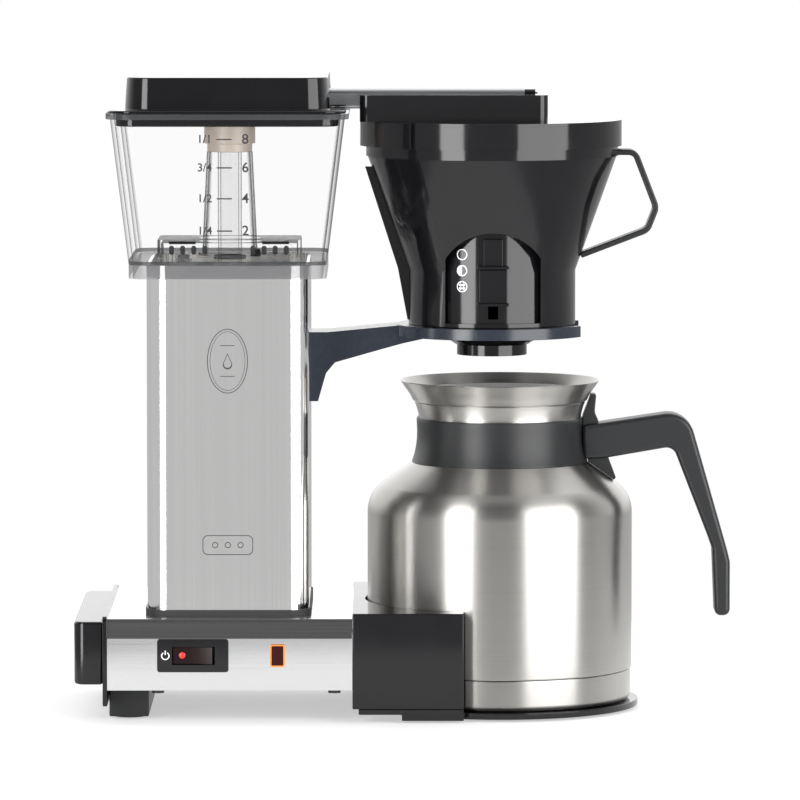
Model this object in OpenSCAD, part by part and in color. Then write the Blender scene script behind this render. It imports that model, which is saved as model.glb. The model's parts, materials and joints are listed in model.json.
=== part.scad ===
// Drip coffee maker: aluminium base and column, clear water tank, cone brew basket on a
// fork bracket, and a double-walled steel jug in a round cradle.
// Millimetres, +Z up. The origin is on the table, under the middle of the whole machine.
// +X runs from the end cap to the jug handle, and the switch faces -Y.

/* [Base] */
// Depth of the base, front to back
base_depth = 166; // [140:1:200]
// Length of the aluminium base housing
housing_len = 135.4; // [125:0.1:170]
// Height of the housing's top face above the table
base_top = 57.8; // [50:0.1:75]
// Height of the housing's lower edge above the table
base_low = 18.3; // [12:0.1:22]
// Wall of the housing
housing_wall = 2; // [1.2:0.1:3]
// How far the top of each long side leans in
housing_lean = 1.8; // [1:0.1:3]
// Height of the leaning band of each long side
housing_lean_h = 10.8; // [8:0.1:12]
// Thickness of the bottom plate
bottom_plate_t = 2; // [1:0.1:3]
// Length of the moulded end cap
end_cap_len = 16; // [8:0.5:30]
// Thickness of the flange between the end cap and the housing
flange_t = 2.4; // [1.5:0.1:4]
// How far the flange stands proud of the housing
flange_proud = 1.5; // [0.5:0.1:3]
// Height of the rubber pads
pad_h = 1.2; // [0.8:0.1:3]
// Length of the foot bar along X
foot_len = 22; // [12:1:40]

/* [Switch and lamp] */
// Width of the switch bezel
bezel_w = 39.4; // [32:0.1:50]
// Height of the switch bezel
bezel_h = 18.3; // [14:0.1:22]
// How far the bezel and the lamp stand proud of the front
bezel_proud = 1.3; // [0.8:0.1:1.4]
// Length of the rocker
rocker_len = 21.8; // [16:0.1:24]
// Height of the rocker
rocker_h = 9.4; // [7:0.1:11]
// Tilt of the rocker either way from level
rocker_tilt = 6; // [3:0.5:8]
// Radius of the rocker's pivot pins
rocker_pin_r = 1.15; // [0.8:0.05:1.6]
// Width of the indicator lens
lamp_w = 8.1; // [6:0.1:12]
// Height of the indicator lens
lamp_h = 12.4; // [8:0.1:16]

/* [Cord gland] */
// Radius of the cord's hole through the gland
gland_bore_r = 3.6; // [2.5:0.1:5]
// Radius of the gland's outer flange
gland_flange_r = 8; // [7:0.1:10]

/* [Column] */
// Width of the column
column_w = 90; // [76:1:100]
// Depth of the column
column_d = 128; // [100:1:134]
// Height of the column's aluminium sleeve
column_h = 191.2; // [150:0.1:240]
// Radius of the column's upright edges
column_r = 12.5; // [8:0.5:18]
// Wall of the column's sleeve
column_wall = 1.8; // [1:0.1:3]
// Thickness of the gasket under the column
gasket_t = 3; // [2:0.1:5]
// Distance from the end cap's outer face to the column's middle
column_from_end = 84.8; // [78:0.1:96]

/* [Boiler] */
// Outer radius of the boiler tube
boiler_r = 12; // [9:0.5:15]
// Length of the boiler tube's full-width part
boiler_len = 96; // [70:1:110]
// Radial thickness of the heater sleeve round the boiler
heater_t = 5; // [3:0.5:7]
// Outer radius of the hoses
hose_r = 6.4; // [6:0.1:8]
// Outer radius of the tank's outlet spigot
spigot_r = 4.6; // [4:0.1:5]
// Radius of the check valve's ball
ball_r = 3; // [2:0.1:3.4]

/* [Water tank] */
// Width of the tank at its floor
tank_floor_w = 109.5; // [104:0.5:116]
// Width of the tank just below its rim
tank_top_w = 130; // [122:0.5:140]
// Depth the tank gains from its floor to its rim
tank_flare_d = 16; // [8:1:24]
// Height of the tank from the underside of its floor to the top of its rim
tank_h = 83.8; // [70:0.1:110]
// Wall of the tank
tank_wall = 2.2; // [1.6:0.1:3]
// How far the rim's lip stands out
tank_lip = 2; // [1:0.1:4]
// Height of the rim's lip
tank_lip_h = 3; // [2:0.1:5]
// How far the skirt hangs below the tank's floor
skirt_h = 7.5; // [4:0.1:14]
// Outer radius of the glass riser tube
riser_r = 6.7; // [5:0.1:8]
// Wall of the riser tube
riser_wall = 1.4; // [1:0.1:2]
// Radius of the riser tower at its foot
tower_foot_r = 15.6; // [13:0.1:18]
// Radius of the riser tower at its top
tower_top_r = 12.8; // [11:0.1:15]
// Height of the riser tower above the tank's floor
tower_h = 58; // [40:1:75]
// Length of the inlet grid
grid_len = 80; // [60:1:90]
// Depth of the inlet grid
grid_d = 50; // [46:1:70]
// Height of the inlet grid
grid_h = 9.6; // [8:0.1:14]
// Pitch of the inlet grid's teeth
grid_pitch = 6.25; // [5:0.25:8]
// How far the float rises
float_rise = 3; // [1:0.5:3.5]

/* [Tank lid] */
// Width of the lid's raised cap at its foot
lid_cap_w = 113.4; // [100:0.1:120]
// Depth of the lid's raised cap at its foot
lid_cap_d = 130; // [100:1:138]
// Height of the lid's raised cap
lid_cap_h = 17.9; // [14:0.1:26]
// How much narrower the cap is at its top
lid_cap_taper = 2.4; // [0:0.1:6]
// Thickness of the lid's walls
lid_wall = 2; // [1.5:0.1:3]
// How far the lid's inner skirt reaches into the tank
lid_skirt_h = 7; // [4:0.5:12]

/* [Outlet arm] */
// Width of the outlet arm, front to back
arm_w = 22; // [16:1:28]
// Height of the outlet arm
arm_h = 11; // [8:0.5:12]
// Wall of the outlet arm
arm_wall = 1; // [0.8:0.1:1.5]
// How far the arm reaches past the basket's axis
arm_past_basket = 18; // [12:0.5:24]
// Number of spray holes along the arm
spray_count = 5; // [3:1:6]
// Radius of each spray hole
spray_r = 1.4; // [1:0.1:1.8]

/* [Brew basket] */
// Height of the basket's rim above the table
basket_rim_z = 328.5; // [320:0.5:332]
// Height of the fork bracket's top face above the table
fork_top = 215.7; // [205:0.1:225]
// Outer radius of the basket's rim
basket_rim_r = 72.6; // [66:0.1:78]
// Radius of the basket's lower drum
drum_r = 46.8; // [42:0.1:52]
// Height of the lower drum
drum_h = 30; // [24:0.5:36]
// Wall of the basket
basket_wall = 2.2; // [1.8:0.1:3]
// Radius of the neck that slides into the fork
neck_r = 21.5; // [19:0.1:24]
// Radius of the outlet ring under the basket
outlet_r = 19.6; // [17:0.1:21]
// Offset of the basket's axis from the jug's axis
basket_offset = -4.5; // [-6:0.5:2]
// Travel of the drip stop either way from half open
drip_travel = 8.8; // [6:0.2:9]
// Width of the drip stop's thumb slide
slide_w = 15.6; // [10:0.2:20]
// Width of the basket handle's strap
basket_strap_w = 16; // [10:1:24]
// Thickness of the basket handle's strap
basket_strap_t = 3.2; // [2.5:0.1:5]
// How far the basket handle stands out from the basket's axis
basket_handle_reach = 93.5; // [86:0.5:110]

/* [Basket lid] */
// Length of the lid's raised box along X
lid_box_len = 104.5; // [90:0.5:116]
// Half depth of the lid's raised box
lid_box_half_d = 38; // [28:1:50]
// Height of the lid's raised box
lid_box_h = 14.7; // [12:0.1:20]
// How far the lid's part skirt hangs outside the basket's rim
lid_hang = 12.5; // [6:0.5:16]

/* [Fork bracket] */
// Thickness of the fork
fork_t = 6.2; // [4:0.1:8]
// Outer radius of the fork
fork_r = 54; // [50:0.5:60]
// Width of the bracket's arm, front to back
bracket_w = 30; // [20:1:50]
// Depth of the bracket's web below the fork's top, at the column
bracket_drop = 42.8; // [30:0.1:60]

/* [Jug] */
// Radius of the jug's body
jug_r = 74.3; // [66:0.1:80]
// Height of the jug's body up to the start of its shoulder
jug_side_top = 110; // [90:1:125]
// Radius of the shoulder's curve
shoulder_r = 20; // [14:1:26]
// Height of the jug's rim above the table
jug_rim_z = 184; // [170:0.5:190]
// Radius of the jug's flared rim
jug_rim_r = 56; // [50:0.5:60]
// Outer radius of the steel neck
jug_neck_r = 45.5; // [42:0.5:50]
// Height of the black collar
collar_h = 25; // [18:0.5:30]
// Wall of the steel shells
steel_t = 1; // [0.6:0.1:1.5]
// Gap between the jug's two walls
vacuum_gap = 3.5; // [2:0.5:6]
// Reach of the jug's handle from the jug's axis
handle_reach = 129.3; // [120:0.1:145]
// Width of the jug's handle, front to back
handle_w = 20; // [14:1:28]
// Height of the handle's lower tip above the table
handle_tip_z = 51.5; // [40:0.5:70]

/* [Cradle] */
// Thickness of the cradle behind the jug
cradle_web = 6.9; // [5:0.1:15]
// Length of the cradle block along the front
cradle_len = 61.5; // [45:0.5:75]
// How far the cradle stands above the housing
cradle_above = 3; // [0:0.1:8]
// Thickness of the round tray
tray_t = 3.6; // [2.5:0.1:6]
// How far the tray shows round the jug
tray_margin = 3.7; // [2:0.1:8]

/* [Clearances] */
// Gap round the jug in its cradle
jug_gap = 1.3; // [0.6:0.1:3]
// Gap between pieces that move past each other
move_gap = 0.3; // [0.3:0.05:0.6]
// Radial clearance of pins and screws in their holes
fit_gap = 0.05; // [0.02:0.01:0.1]

/* [Hidden] */
$fn = 72;
// Overshoot that lets a cut pass cleanly through a face
eps = 0.5;

// Places along X, all counted from the middle of the whole machine
jug_recess_r = jug_r + jug_gap;
jug_from_end = end_cap_len + flange_t + housing_len + cradle_web + jug_recess_r;
left_end = -(jug_from_end + handle_reach) / 2;
flange_x = left_end + end_cap_len;
housing_x = flange_x + flange_t;
cradle_x = housing_x + housing_len;
jug_x = left_end + jug_from_end;
column_x = left_end + column_from_end;
basket_x = jug_x + basket_offset;
column_face_x = column_x + column_w / 2;

// Heights
front_y = -base_depth / 2;
gasket_top = base_top + gasket_t;
column_top = gasket_top + column_h;
tank_floor_z = column_top + tank_wall;
tank_rim_z = column_top + tank_h;
arm_z = tank_rim_z + 0.6;
arm_end_x = basket_x + arm_past_basket + 6;
jug_z = pad_h + tray_t + move_gap;

// Tank sizes, tied to the column that its skirt fits round
tank_floor_d = column_d + 2 * (tank_wall + 0.6);
tank_top_d = tank_floor_d + tank_flare_d;
function tank_w_at(z) = tank_floor_w + (tank_top_w - tank_floor_w) * (z - column_top) / tank_h;
function tank_d_at(z) = tank_floor_d + tank_flare_d * (z - column_top) / tank_h;

// Switch
rocker_x = housing_x + 47.8;
bezel_x = rocker_x - 0.4;
switch_z = base_low + 19.4;
rocker_y = front_y + 4;
lamp_x = housing_x + 94.1;
insert_d = 13;

// Basket heights
basket_low = fork_top + move_gap;
mouth_z = basket_low + drum_h - 2;
mouth_r = 6;
cone_top_z = basket_rim_z - 18.5;
cone_top_r = basket_rim_r - 2.8;
step_r = basket_rim_r - 2;
funnel_top_r = cone_top_r - basket_wall;
tube_r = 14;
panel_r = drum_r - 3.3;
bridge_z = basket_low + basket_wall + drip_travel + 3;
arch_top = basket_low + 53;
lid_disc_t = 1.8;
lid_box_z = basket_rim_z + lid_disc_t;

// Jug heights
seam_z = jug_z + 17;
collar_z = jug_rim_z - 21 - collar_h;
neck_z = collar_z + collar_h;
shoulder_turn = 50;

module rounded_rect(w, d, r) {
    square([w - 2 * r, d], center = true);
    square([w, d - 2 * r], center = true);
    for (sx = [-1, 1], sy = [-1, 1])
        translate([sx * (w / 2 - r), sy * (d / 2 - r)]) circle(r = r);
}

module slab(w, d, r, z0, z1) {
    translate([0, 0, z0]) linear_extrude(z1 - z0) rounded_rect(w, d, r);
}

module frame_slab(w, d, r, wall, z0, z1) {
    difference() {
        slab(w, d, r, z0, z1);
        slab(w - 2 * wall, d - 2 * wall, max(r - wall, 0.5), z0 - eps, z1 + eps);
    }
}

// A slab whose plan grows or shrinks from its foot to its top
module taper(w0, d0, r0, z0, w1, d1, r1, z1) {
    thin = 0.01;
    hull($fn = 32) {
        slab(w0, d0, r0, z0, z0 + thin, $fn = 32);
        slab(w1, d1, r1, z1 - thin, z1, $fn = 32);
    }
}

module tube(r, wall, z0, z1) {
    difference() {
        translate([0, 0, z0]) cylinder(r = r, h = z1 - z0);
        translate([0, 0, z0 - eps]) cylinder(r = r - wall, h = z1 - z0 + 2 * eps);
    }
}

// A profile in Y and Z, pushed along +X
module along_x(x0, len) {
    translate([x0, 0, 0]) rotate([90, 0, 90]) linear_extrude(len) children();
}

// A profile in X and Z, centred on Y = 0
module across_y(width) {
    rotate([90, 0, 0]) linear_extrude(width, center = true) children();
}

// A strip of even thickness along a list of points, mitred where it turns
function unit(v) = v / norm(v);
function leftward(run) = [-run[1], run[0]];
function run_at(points, i) = unit(points[min(i + 1, len(points) - 1)] - points[min(i, len(points) - 2)]);
function mitre(points, i) =
    let (before = leftward(run_at(points, max(i - 1, 0))), after = leftward(run_at(points, i)),
         middle = unit(before + after))
    middle / (middle * before);
module strip(points, t) {
    last = len(points) - 1;
    polygon([for (i = [0 : last]) points[i] + mitre(points, i) * t / 2,
             for (i = [last : -1 : 0]) points[i] - mitre(points, i) * t / 2]);
}

module pan_screw(head_r, head_h, shank_r, shank_h) {
    difference() {
        cylinder(r = head_r, h = head_h);
        translate([0, 0, -eps]) cylinder(r = head_r * 0.4, h = head_h * 0.5 + eps, $fn = 6);
    }
    translate([0, 0, head_h]) cylinder(r = shank_r, h = shank_h);
}

module at_base_screws() {
    for (x = [housing_x + 28, cradle_x - 10], sy = [-1, 1])
        translate([x, sy * (base_depth / 2 - housing_wall - 3.5), 0]) children();
}

module at_column_screws() {
    for (sx = [-1, 1], sy = [-1, 1])
        translate([column_x + sx * (column_w / 2 - 14), sy * (column_d / 2 - 14), 0]) children();
}

// ---- Base ----
module housing_profile(inset) {
    half = base_depth / 2 - inset;
    low = base_low + inset;
    top = base_top - inset;
    bend = base_top - housing_lean_h;
    polygon([[-half, low], [half, low], [half, bend], [half - housing_lean, top],
             [-half + housing_lean, top], [-half, bend]]);
}

module base_housing() {
    rib = 7;
    color("silver") difference() {
        union() {
            difference() {
                along_x(housing_x, housing_len) housing_profile(0);
                along_x(housing_x - eps, housing_len + 2 * eps) {
                    housing_profile(housing_wall);
                    translate([-base_depth / 2 + housing_wall, base_low - eps])
                        square([base_depth - 2 * housing_wall, rib]);
                }
                translate([housing_x - eps, -base_depth, base_low - eps])
                    cube([housing_len + 2 * eps, 2 * base_depth, eps]);
            }
            for (sy = [-1, 1])
                along_x(housing_x, housing_len)
                    translate([sy * (base_depth / 2 - housing_wall - rib / 2),
                               base_low + bottom_plate_t + rib / 2])
                        square([rib, rib], center = true);
        }
        translate([bezel_x - (bezel_w - 4) / 2, front_y - eps, switch_z - (bezel_h - 3) / 2])
            cube([bezel_w - 4, housing_wall + 2 * eps + 7, bezel_h - 3]);
        translate([lamp_x - (lamp_w - 1.6) / 2, front_y - eps, switch_z - (lamp_h - 1.6) / 2])
            cube([lamp_w - 1.6, housing_wall + 2 * eps + 7, lamp_h - 1.6]);
        translate([housing_x + 14, -front_y + eps, switch_z])
            rotate([90, 0, 0]) cylinder(r = gland_flange_r - 1.4, h = housing_wall + 2 * eps);
        at_base_screws() translate([0, 0, base_low]) cylinder(r = 1.9, h = 8);
        at_column_screws() translate([0, 0, base_top - housing_wall - eps])
            cylinder(r = 2.2, h = housing_wall + 2 * eps);
        translate([column_x, 0, base_top - housing_wall - eps])
            cylinder(r = 20, h = housing_wall + 2 * eps);
    }
}

module base_bottom_plate() {
    half_d = base_depth / 2 - housing_wall - fit_gap;
    color("#2a2a2c") difference() {
        translate([housing_x, -half_d, base_low])
            cube([housing_len, 2 * half_d, bottom_plate_t]);
        at_base_screws() translate([0, 0, base_low - eps])
            cylinder(r = 1.9, h = bottom_plate_t + 2 * eps);
        for (i = [0 : 6])
            translate([column_x - 30 + 10 * i, 0, base_low + bottom_plate_t / 2])
                cube([3, 60, bottom_plate_t + 2 * eps], center = true);
    }
}

module end_flange() {
    low = 9.2;
    top = base_top + flange_proud;
    color("#1b1b1d") difference() {
        along_x(flange_x, flange_t) translate([0, (low + top) / 2])
            rounded_rect(base_depth + 2 * flange_proud, top - low, 3);
        along_x(flange_x - eps, flange_t + 2 * eps) translate([0, switch_z])
            rounded_rect(90, 16, 3);
    }
}

module end_cap() {
    low = base_low + 2.7;
    top = base_top - 1.8;
    depth = base_depth - 6;
    color("#18181a") difference() {
        translate([flange_x - end_cap_len, 0, 0]) linear_extrude(top) {
            translate([end_cap_len / 2 + 3, 0]) square([end_cap_len - 6, depth], center = true);
            translate([end_cap_len / 2, 0]) rounded_rect(end_cap_len, depth, 6);
        }
        translate([flange_x - end_cap_len + 2.2, -depth / 2 + 2.2, low + 2.2])
            cube([end_cap_len, depth - 4.4, top - low - 4.4]);
        translate([flange_x - end_cap_len - eps, -base_depth, -eps])
            cube([end_cap_len + 2 * eps, 2 * base_depth, low + eps]);
    }
}

module base_foot() {
    color("#1b1b1d") translate([housing_x + 0.4, -62, pad_h])
        cube([foot_len, 124, base_low - pad_h]);
}

module foot_pads() {
    color("#0f0f10") for (sy = [-1, 1])
        translate([housing_x + 0.4 + foot_len / 2, sy * 48, 0])
            cylinder(r = 9, h = pad_h);
}

module switch_bezel() {
    in_w = bezel_w - 4 - 2 * fit_gap;
    in_h = bezel_h - 3 - 2 * fit_gap;
    color("#151517") difference() {
        union() {
            translate([bezel_x, front_y, switch_z]) rotate([90, 0, 0])
                linear_extrude(bezel_proud) rounded_rect(bezel_w, bezel_h, 1.6);
            translate([bezel_x - in_w / 2, front_y, switch_z - in_h / 2])
                cube([in_w, insert_d, in_h]);
        }
        translate([rocker_x - rocker_len / 2 - 0.9, front_y - eps - bezel_proud,
                   switch_z - rocker_h / 2 - move_gap])
            cube([rocker_len + 1.8, insert_d + bezel_proud + 2 * eps, rocker_h + 2 * move_gap]);
        translate([rocker_x, rocker_y, switch_z - in_h / 2 - eps])
            cylinder(r = rocker_pin_r + fit_gap, h = in_h + 2 * eps);
    }
}

module power_rocker() {
    half = rocker_len / 2;
    color("#8c1216") translate([rocker_x, rocker_y, switch_z]) rotate([0, 0, -rocker_tilt]) {
        linear_extrude(rocker_h, center = true)
            polygon([[-half, -4.6], [0, -3.4], [half, -4.6], [half - 2, 4], [-half + 2, 4]]);
        cylinder(r = rocker_pin_r, h = bezel_h - 4, center = true);
    }
}

module switch_body() {
    color("#202022") difference() {
        translate([bezel_x - 17, front_y + insert_d + 0.1, switch_z - 7]) cube([34, 15, 14]);
        translate([bezel_x - 14, front_y + insert_d - eps, switch_z - 5]) cube([28, 5, 10]);
    }
    color("goldenrod") for (i = [-1 : 1])
        translate([bezel_x + 10 * i - 2.4, front_y + insert_d + 15.1, switch_z - 0.4])
            cube([4.8, 7, 0.8]);
}

module lamp_lens() {
    color("#8a3a10") {
        translate([lamp_x, front_y, switch_z]) rotate([90, 0, 0])
            linear_extrude(bezel_proud) rounded_rect(lamp_w, lamp_h, 1.4);
        translate([lamp_x - lamp_w / 2 + 0.9, front_y, switch_z - lamp_h / 2 + 0.9])
            cube([lamp_w - 1.8, 9, lamp_h - 1.8]);
    }
}

module lamp_holder() {
    color("#202022") translate([lamp_x, front_y + 9.1, switch_z]) rotate([-90, 0, 0])
        cylinder(r = lamp_w / 2, h = 12);
}

module cord_gland() {
    back = -front_y;
    wall_in = back - housing_wall;
    color("#101012") translate([housing_x + 14, 0, switch_z]) rotate([-90, 0, 0]) difference() {
        union() {
            translate([0, 0, back]) cylinder(r = gland_flange_r, h = 1.4);
            translate([0, 0, wall_in]) cylinder(r = gland_flange_r - 1.45, h = housing_wall);
            translate([0, 0, wall_in - 1.6]) cylinder(r = gland_flange_r, h = 1.6);
        }
        translate([0, 0, wall_in - 2]) cylinder(r = gland_bore_r, h = 8);
    }
}

module terminal_block() {
    color("#d8d2bd") difference() {
        translate([cradle_x - 44, 26, base_low + bottom_plate_t]) cube([32, 18, 13]);
        for (i = [0 : 2])
            translate([cradle_x - 38 + 10 * i, 25, base_low + bottom_plate_t + 6])
                rotate([-90, 0, 0]) cylinder(r = 2, h = 20);
    }
}

module base_screws() {
    color("#b9bcc0") at_base_screws() translate([0, 0, base_low - 1.8])
        pan_screw(3.4, 1.8, 1.9 - fit_gap, 7.6);
}

// ---- Column ----
module column_gasket() {
    color("#131315") translate([column_x, 0, 0]) difference() {
        slab(column_w + 2, column_d + 2, column_r + 1, base_top, gasket_top);
        slab(column_w - 36, column_d - 50, 4, base_top - eps, gasket_top + eps);
        translate([-column_x, 0, 0]) at_column_screws() translate([0, 0, base_top - eps])
            cylinder(r = 2.2, h = gasket_t + 2 * eps);
    }
}

module column_sleeve() {
    color("silver") difference() {
        translate([column_x, 0, 0])
            frame_slab(column_w, column_d, column_r, column_wall, gasket_top, column_top);
        at_bracket_screws() translate([-eps, 0, 0]) rotate([0, 90, 0])
            cylinder(r = 2.1, h = column_wall + 2 * eps);
    }
}

module column_foot() {
    w = column_w - 2 * column_wall - 0.2;
    d = column_d - 2 * column_wall - 0.2;
    color("#9a9da1") difference() {
        translate([column_x, 0, 0]) {
            slab(w, d, column_r - column_wall - 0.1, gasket_top, gasket_top + 3);
            for (sy = [-1, 1])
                translate([-16, sy * 24 - 0.75, gasket_top + 3])
                    cube([32, 1.5, boiler_z - gasket_top + 51]);
            for (h = [0, 52]) difference() {
                translate([-16, -23.25, boiler_z + h]) cube([32, 46.5, 1.5]);
                translate([0, 0, boiler_z + h - eps])
                    cylinder(r = boiler_r + 0.3 + (h > 0 ? heater_t : 0), h = 3);
            }
        }
        translate([column_x, 0, gasket_top - eps]) cylinder(r = 20, h = 4);
        at_column_screws() translate([0, 0, gasket_top - eps]) cylinder(r = 1.9, h = 5);
    }
}

module column_screws() {
    color("#b9bcc0") at_column_screws() translate([0, 0, base_top - housing_wall - 1.8])
        pan_screw(3.6, 1.8, 1.9 - fit_gap, housing_wall + gasket_t + 3);
}

boiler_z = gasket_top + 46;
boiler_top = boiler_z + boiler_len;
cone_h = 7;
valve_z = boiler_z - cone_h - 14;

module boiler_tube() {
    wall = 1.2;
    color("#c08a5a") translate([column_x, 0, 0]) difference() {
        union() {
            translate([0, 0, boiler_z]) cylinder(r = boiler_r, h = boiler_len);
            translate([0, 0, boiler_z - cone_h]) cylinder(r1 = 5, r2 = boiler_r, h = cone_h);
            translate([0, 0, boiler_top]) cylinder(r1 = boiler_r, r2 = 5, h = cone_h);
            translate([0, 0, boiler_top + cone_h]) cylinder(r = 5, h = 12);
        }
        translate([0, 0, boiler_z]) cylinder(r = boiler_r - wall, h = boiler_len);
        translate([0, 0, boiler_z - cone_h]) cylinder(r1 = 3.8, r2 = boiler_r - wall, h = cone_h);
        translate([0, 0, boiler_top]) cylinder(r1 = boiler_r - wall, r2 = 3.8, h = cone_h);
        translate([0, 0, boiler_z - cone_h - eps]) cylinder(r = 3.8, h = 1);
        translate([0, 0, boiler_top + cone_h - eps]) cylinder(r = 3.8, h = 14);
    }
}

module heater_sleeve() {
    color("#a9acb0") translate([column_x, 0, 0]) {
        tube(boiler_r + heater_t, heater_t - fit_gap, boiler_z + 10, boiler_top - 8);
        for (dz = [18, boiler_len - 20])
            translate([-3, boiler_r + heater_t - 0.6, boiler_z + dz]) cube([6, 6, 1.2]);
    }
}

module thermostat() {
    x = column_x + boiler_r + heater_t;
    color("#33302c") translate([x, 0, boiler_z + 32]) rotate([0, 90, 0])
        translate([0, 0, 0.1]) cylinder(r = 7.5, h = 5);
}

module thermal_fuse() {
    x = column_x + boiler_r + heater_t + 2.9;
    color("#e6e2d6") translate([x, 0, boiler_z + 58]) cylinder(r = 2.7, h = 16);
}

hose_offset = 26;

module inlet_hose() {
    bend = hose_offset / 2;
    wall = hose_r - spigot_r - fit_gap;
    low = valve_z - 1;
    color("#e8e4dc") {
        translate([column_x - hose_offset, 0, 0]) tube(hose_r, wall, low, column_top - 2);
        translate([column_x, 0, 0]) tube(hose_r, wall, low, valve_z + 4);
        translate([column_x - bend, 0, low]) rotate([90, 0, 0]) rotate([0, 0, 180])
            rotate_extrude(angle = 180) translate([bend, 0]) difference() {
                circle(r = hose_r);
                circle(r = hose_r - wall);
            }
    }
}

module valve_body() {
    color("#8d8f93") translate([column_x, 0, 0]) difference() {
        union() {
            translate([0, 0, valve_z]) cylinder(r = spigot_r, h = 5);
            translate([0, 0, valve_z + 5]) cylinder(r = 8, h = 9);
        }
        translate([0, 0, valve_z - eps]) cylinder(r = 1.8, h = 6);
        translate([0, 0, valve_z + 5]) cylinder(r = ball_r + 0.5, h = 10);
    }
}

module valve_ball() {
    color("#d0d2d6") translate([column_x, 0, valve_z + 5 + ball_r + 0.05]) sphere(r = ball_r);
}

module riser_hose() {
    color("#e8e4dc") translate([column_x, 0, 0]) difference() {
        translate([0, 0, boiler_top + cone_h + 1]) cylinder(r = 9, h = column_top - boiler_top - cone_h - 3);
        translate([0, 0, boiler_top + cone_h]) cylinder(r = 5 + fit_gap, h = 14);
        translate([0, 0, boiler_top + cone_h + 13]) cylinder(r = riser_r + fit_gap, h = column_h);
    }
}

// ---- Water tank ----
module tank() {
    lip_z = tank_rim_z - tank_lip_h;
    color("#dfe8ee", 0.35) translate([column_x, 0, 0]) difference() {
        union() {
            taper(tank_floor_w, tank_floor_d, 12, column_top,
                  tank_top_w, tank_top_d, 14, tank_rim_z);
            slab(tank_top_w + 2 * tank_lip, tank_top_d + 2 * tank_lip, 15, lip_z, tank_rim_z);
            frame_slab(tank_floor_w, tank_floor_d, 12, tank_wall, column_top - skirt_h, column_top + 0.2);
            translate([-hose_offset, 0, column_top - 10]) cylinder(r = spigot_r, h = 11);
        }
        taper(tank_w_at(tank_floor_z) - 2 * tank_wall, tank_d_at(tank_floor_z) - 2 * tank_wall, 10,
              tank_floor_z, tank_top_w - 2 * tank_wall, tank_top_d - 2 * tank_wall, 12,
              tank_rim_z + 0.1);
        translate([0, 0, column_top - eps]) cylinder(r = riser_r + 2.3, h = 4);
        translate([-hose_offset, 0, column_top - 11]) cylinder(r = spigot_r - 1.3, h = 15);
    }
}

module riser_seal() {
    color("#5a5a5e") translate([column_x, 0, 0])
        tube(riser_r + 2.25, 2.2, column_top, tank_floor_z);
}

module riser_tube() {
    color("#eef4f6", 0.4) translate([column_x, 0, 0])
        tube(riser_r, riser_wall, boiler_top + cone_h + 14, arm_z - 8.5);
}

module riser_tower() {
    color("#e4ecf0", 0.35) translate([column_x, 0, tank_floor_z]) difference() {
        union() {
            cylinder(r1 = tower_foot_r, r2 = tower_top_r, h = tower_h);
            cylinder(r = tower_foot_r + 2, h = 1.6);
        }
        translate([0, 0, -0.01])
            cylinder(r1 = tower_foot_r - 1.4, r2 = tower_top_r - 1.4, h = tower_h + 0.02);
    }
}

module riser_cap() {
    cap_z = tank_floor_z + tower_h;
    color("#b9ab9c") translate([column_x, 0, 0]) difference() {
        union() {
            translate([0, 0, cap_z]) cylinder(r = tower_top_r - 0.2, h = 5);
            translate([0, 0, cap_z + 4.6]) cylinder(r = tower_top_r + 1.5, h = arm_z - cap_z - 4.6);
        }
        translate([0, 0, cap_z - eps]) cylinder(r = riser_r + fit_gap, h = 40);
    }
}

module inlet_grid() {
    z0 = tank_floor_z;
    teeth = floor((grid_len / 2 - 24) / grid_pitch);
    color("#dfe8ee", 0.4) translate([column_x, 0, 0]) difference() {
        slab(grid_len, grid_d, 4, z0, z0 + grid_h);
        slab(grid_len - 4, grid_d - 4, 2, z0 - eps, z0 + grid_h - 1.8);
        translate([0, 0, z0]) cylinder(r = tower_foot_r + 2.3, h = 20);
        for (sx = [-1, 1], i = [0 : teeth])
            translate([sx * (20 + grid_pitch * i), 0, z0 + 2])
                cube([grid_pitch - 2.6, grid_d + 2, 5], center = true);
    }
}

module float_block() {
    color("#0e0e10") translate([column_x + 12, -grid_d / 2 + 3, tank_floor_z + move_gap])
        cube([5.4, 3.6, grid_h - 1.8 - float_rise - 2 * move_gap]);
}

module tank_lid() {
    rim_w = tank_top_w + 1;
    rim_d = tank_top_d + 1;
    low = tank_rim_z - lid_skirt_h;
    skirt_w = tank_w_at(low) - 2 * tank_wall - 2 * move_gap - 0.4;
    skirt_d = tank_d_at(low) - 2 * tank_wall - 2 * move_gap - 0.4;
    plate = 1.9;
    cap_z = tank_rim_z + plate;
    cap_top = cap_z + lid_cap_h;
    in = 2 * lid_wall;
    color("#1a1a1c") difference() {
        translate([column_x, 0, 0]) difference() {
            union() {
                slab(rim_w, rim_d, 14, tank_rim_z, cap_z);
                slab(skirt_w, skirt_d, 11, low, tank_rim_z);
                taper(lid_cap_w, lid_cap_d, 15, cap_z - 0.1, lid_cap_w - lid_cap_taper,
                      lid_cap_d - lid_cap_taper, 14, cap_top);
            }
            slab(skirt_w - in, skirt_d - in, 9, low - eps, cap_z - lid_wall + 0.1);
            taper(lid_cap_w - in, lid_cap_d - in, 13, cap_z - lid_wall, lid_cap_w - lid_cap_taper - in,
                  lid_cap_d - lid_cap_taper - in, 12, cap_top - lid_wall);
        }
        translate([column_x + 20, -arm_w / 2 - 1, low - eps])
            cube([tank_top_w / 2, arm_w + 2, arm_z + arm_h + 1 - low + eps]);
    }
}

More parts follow.
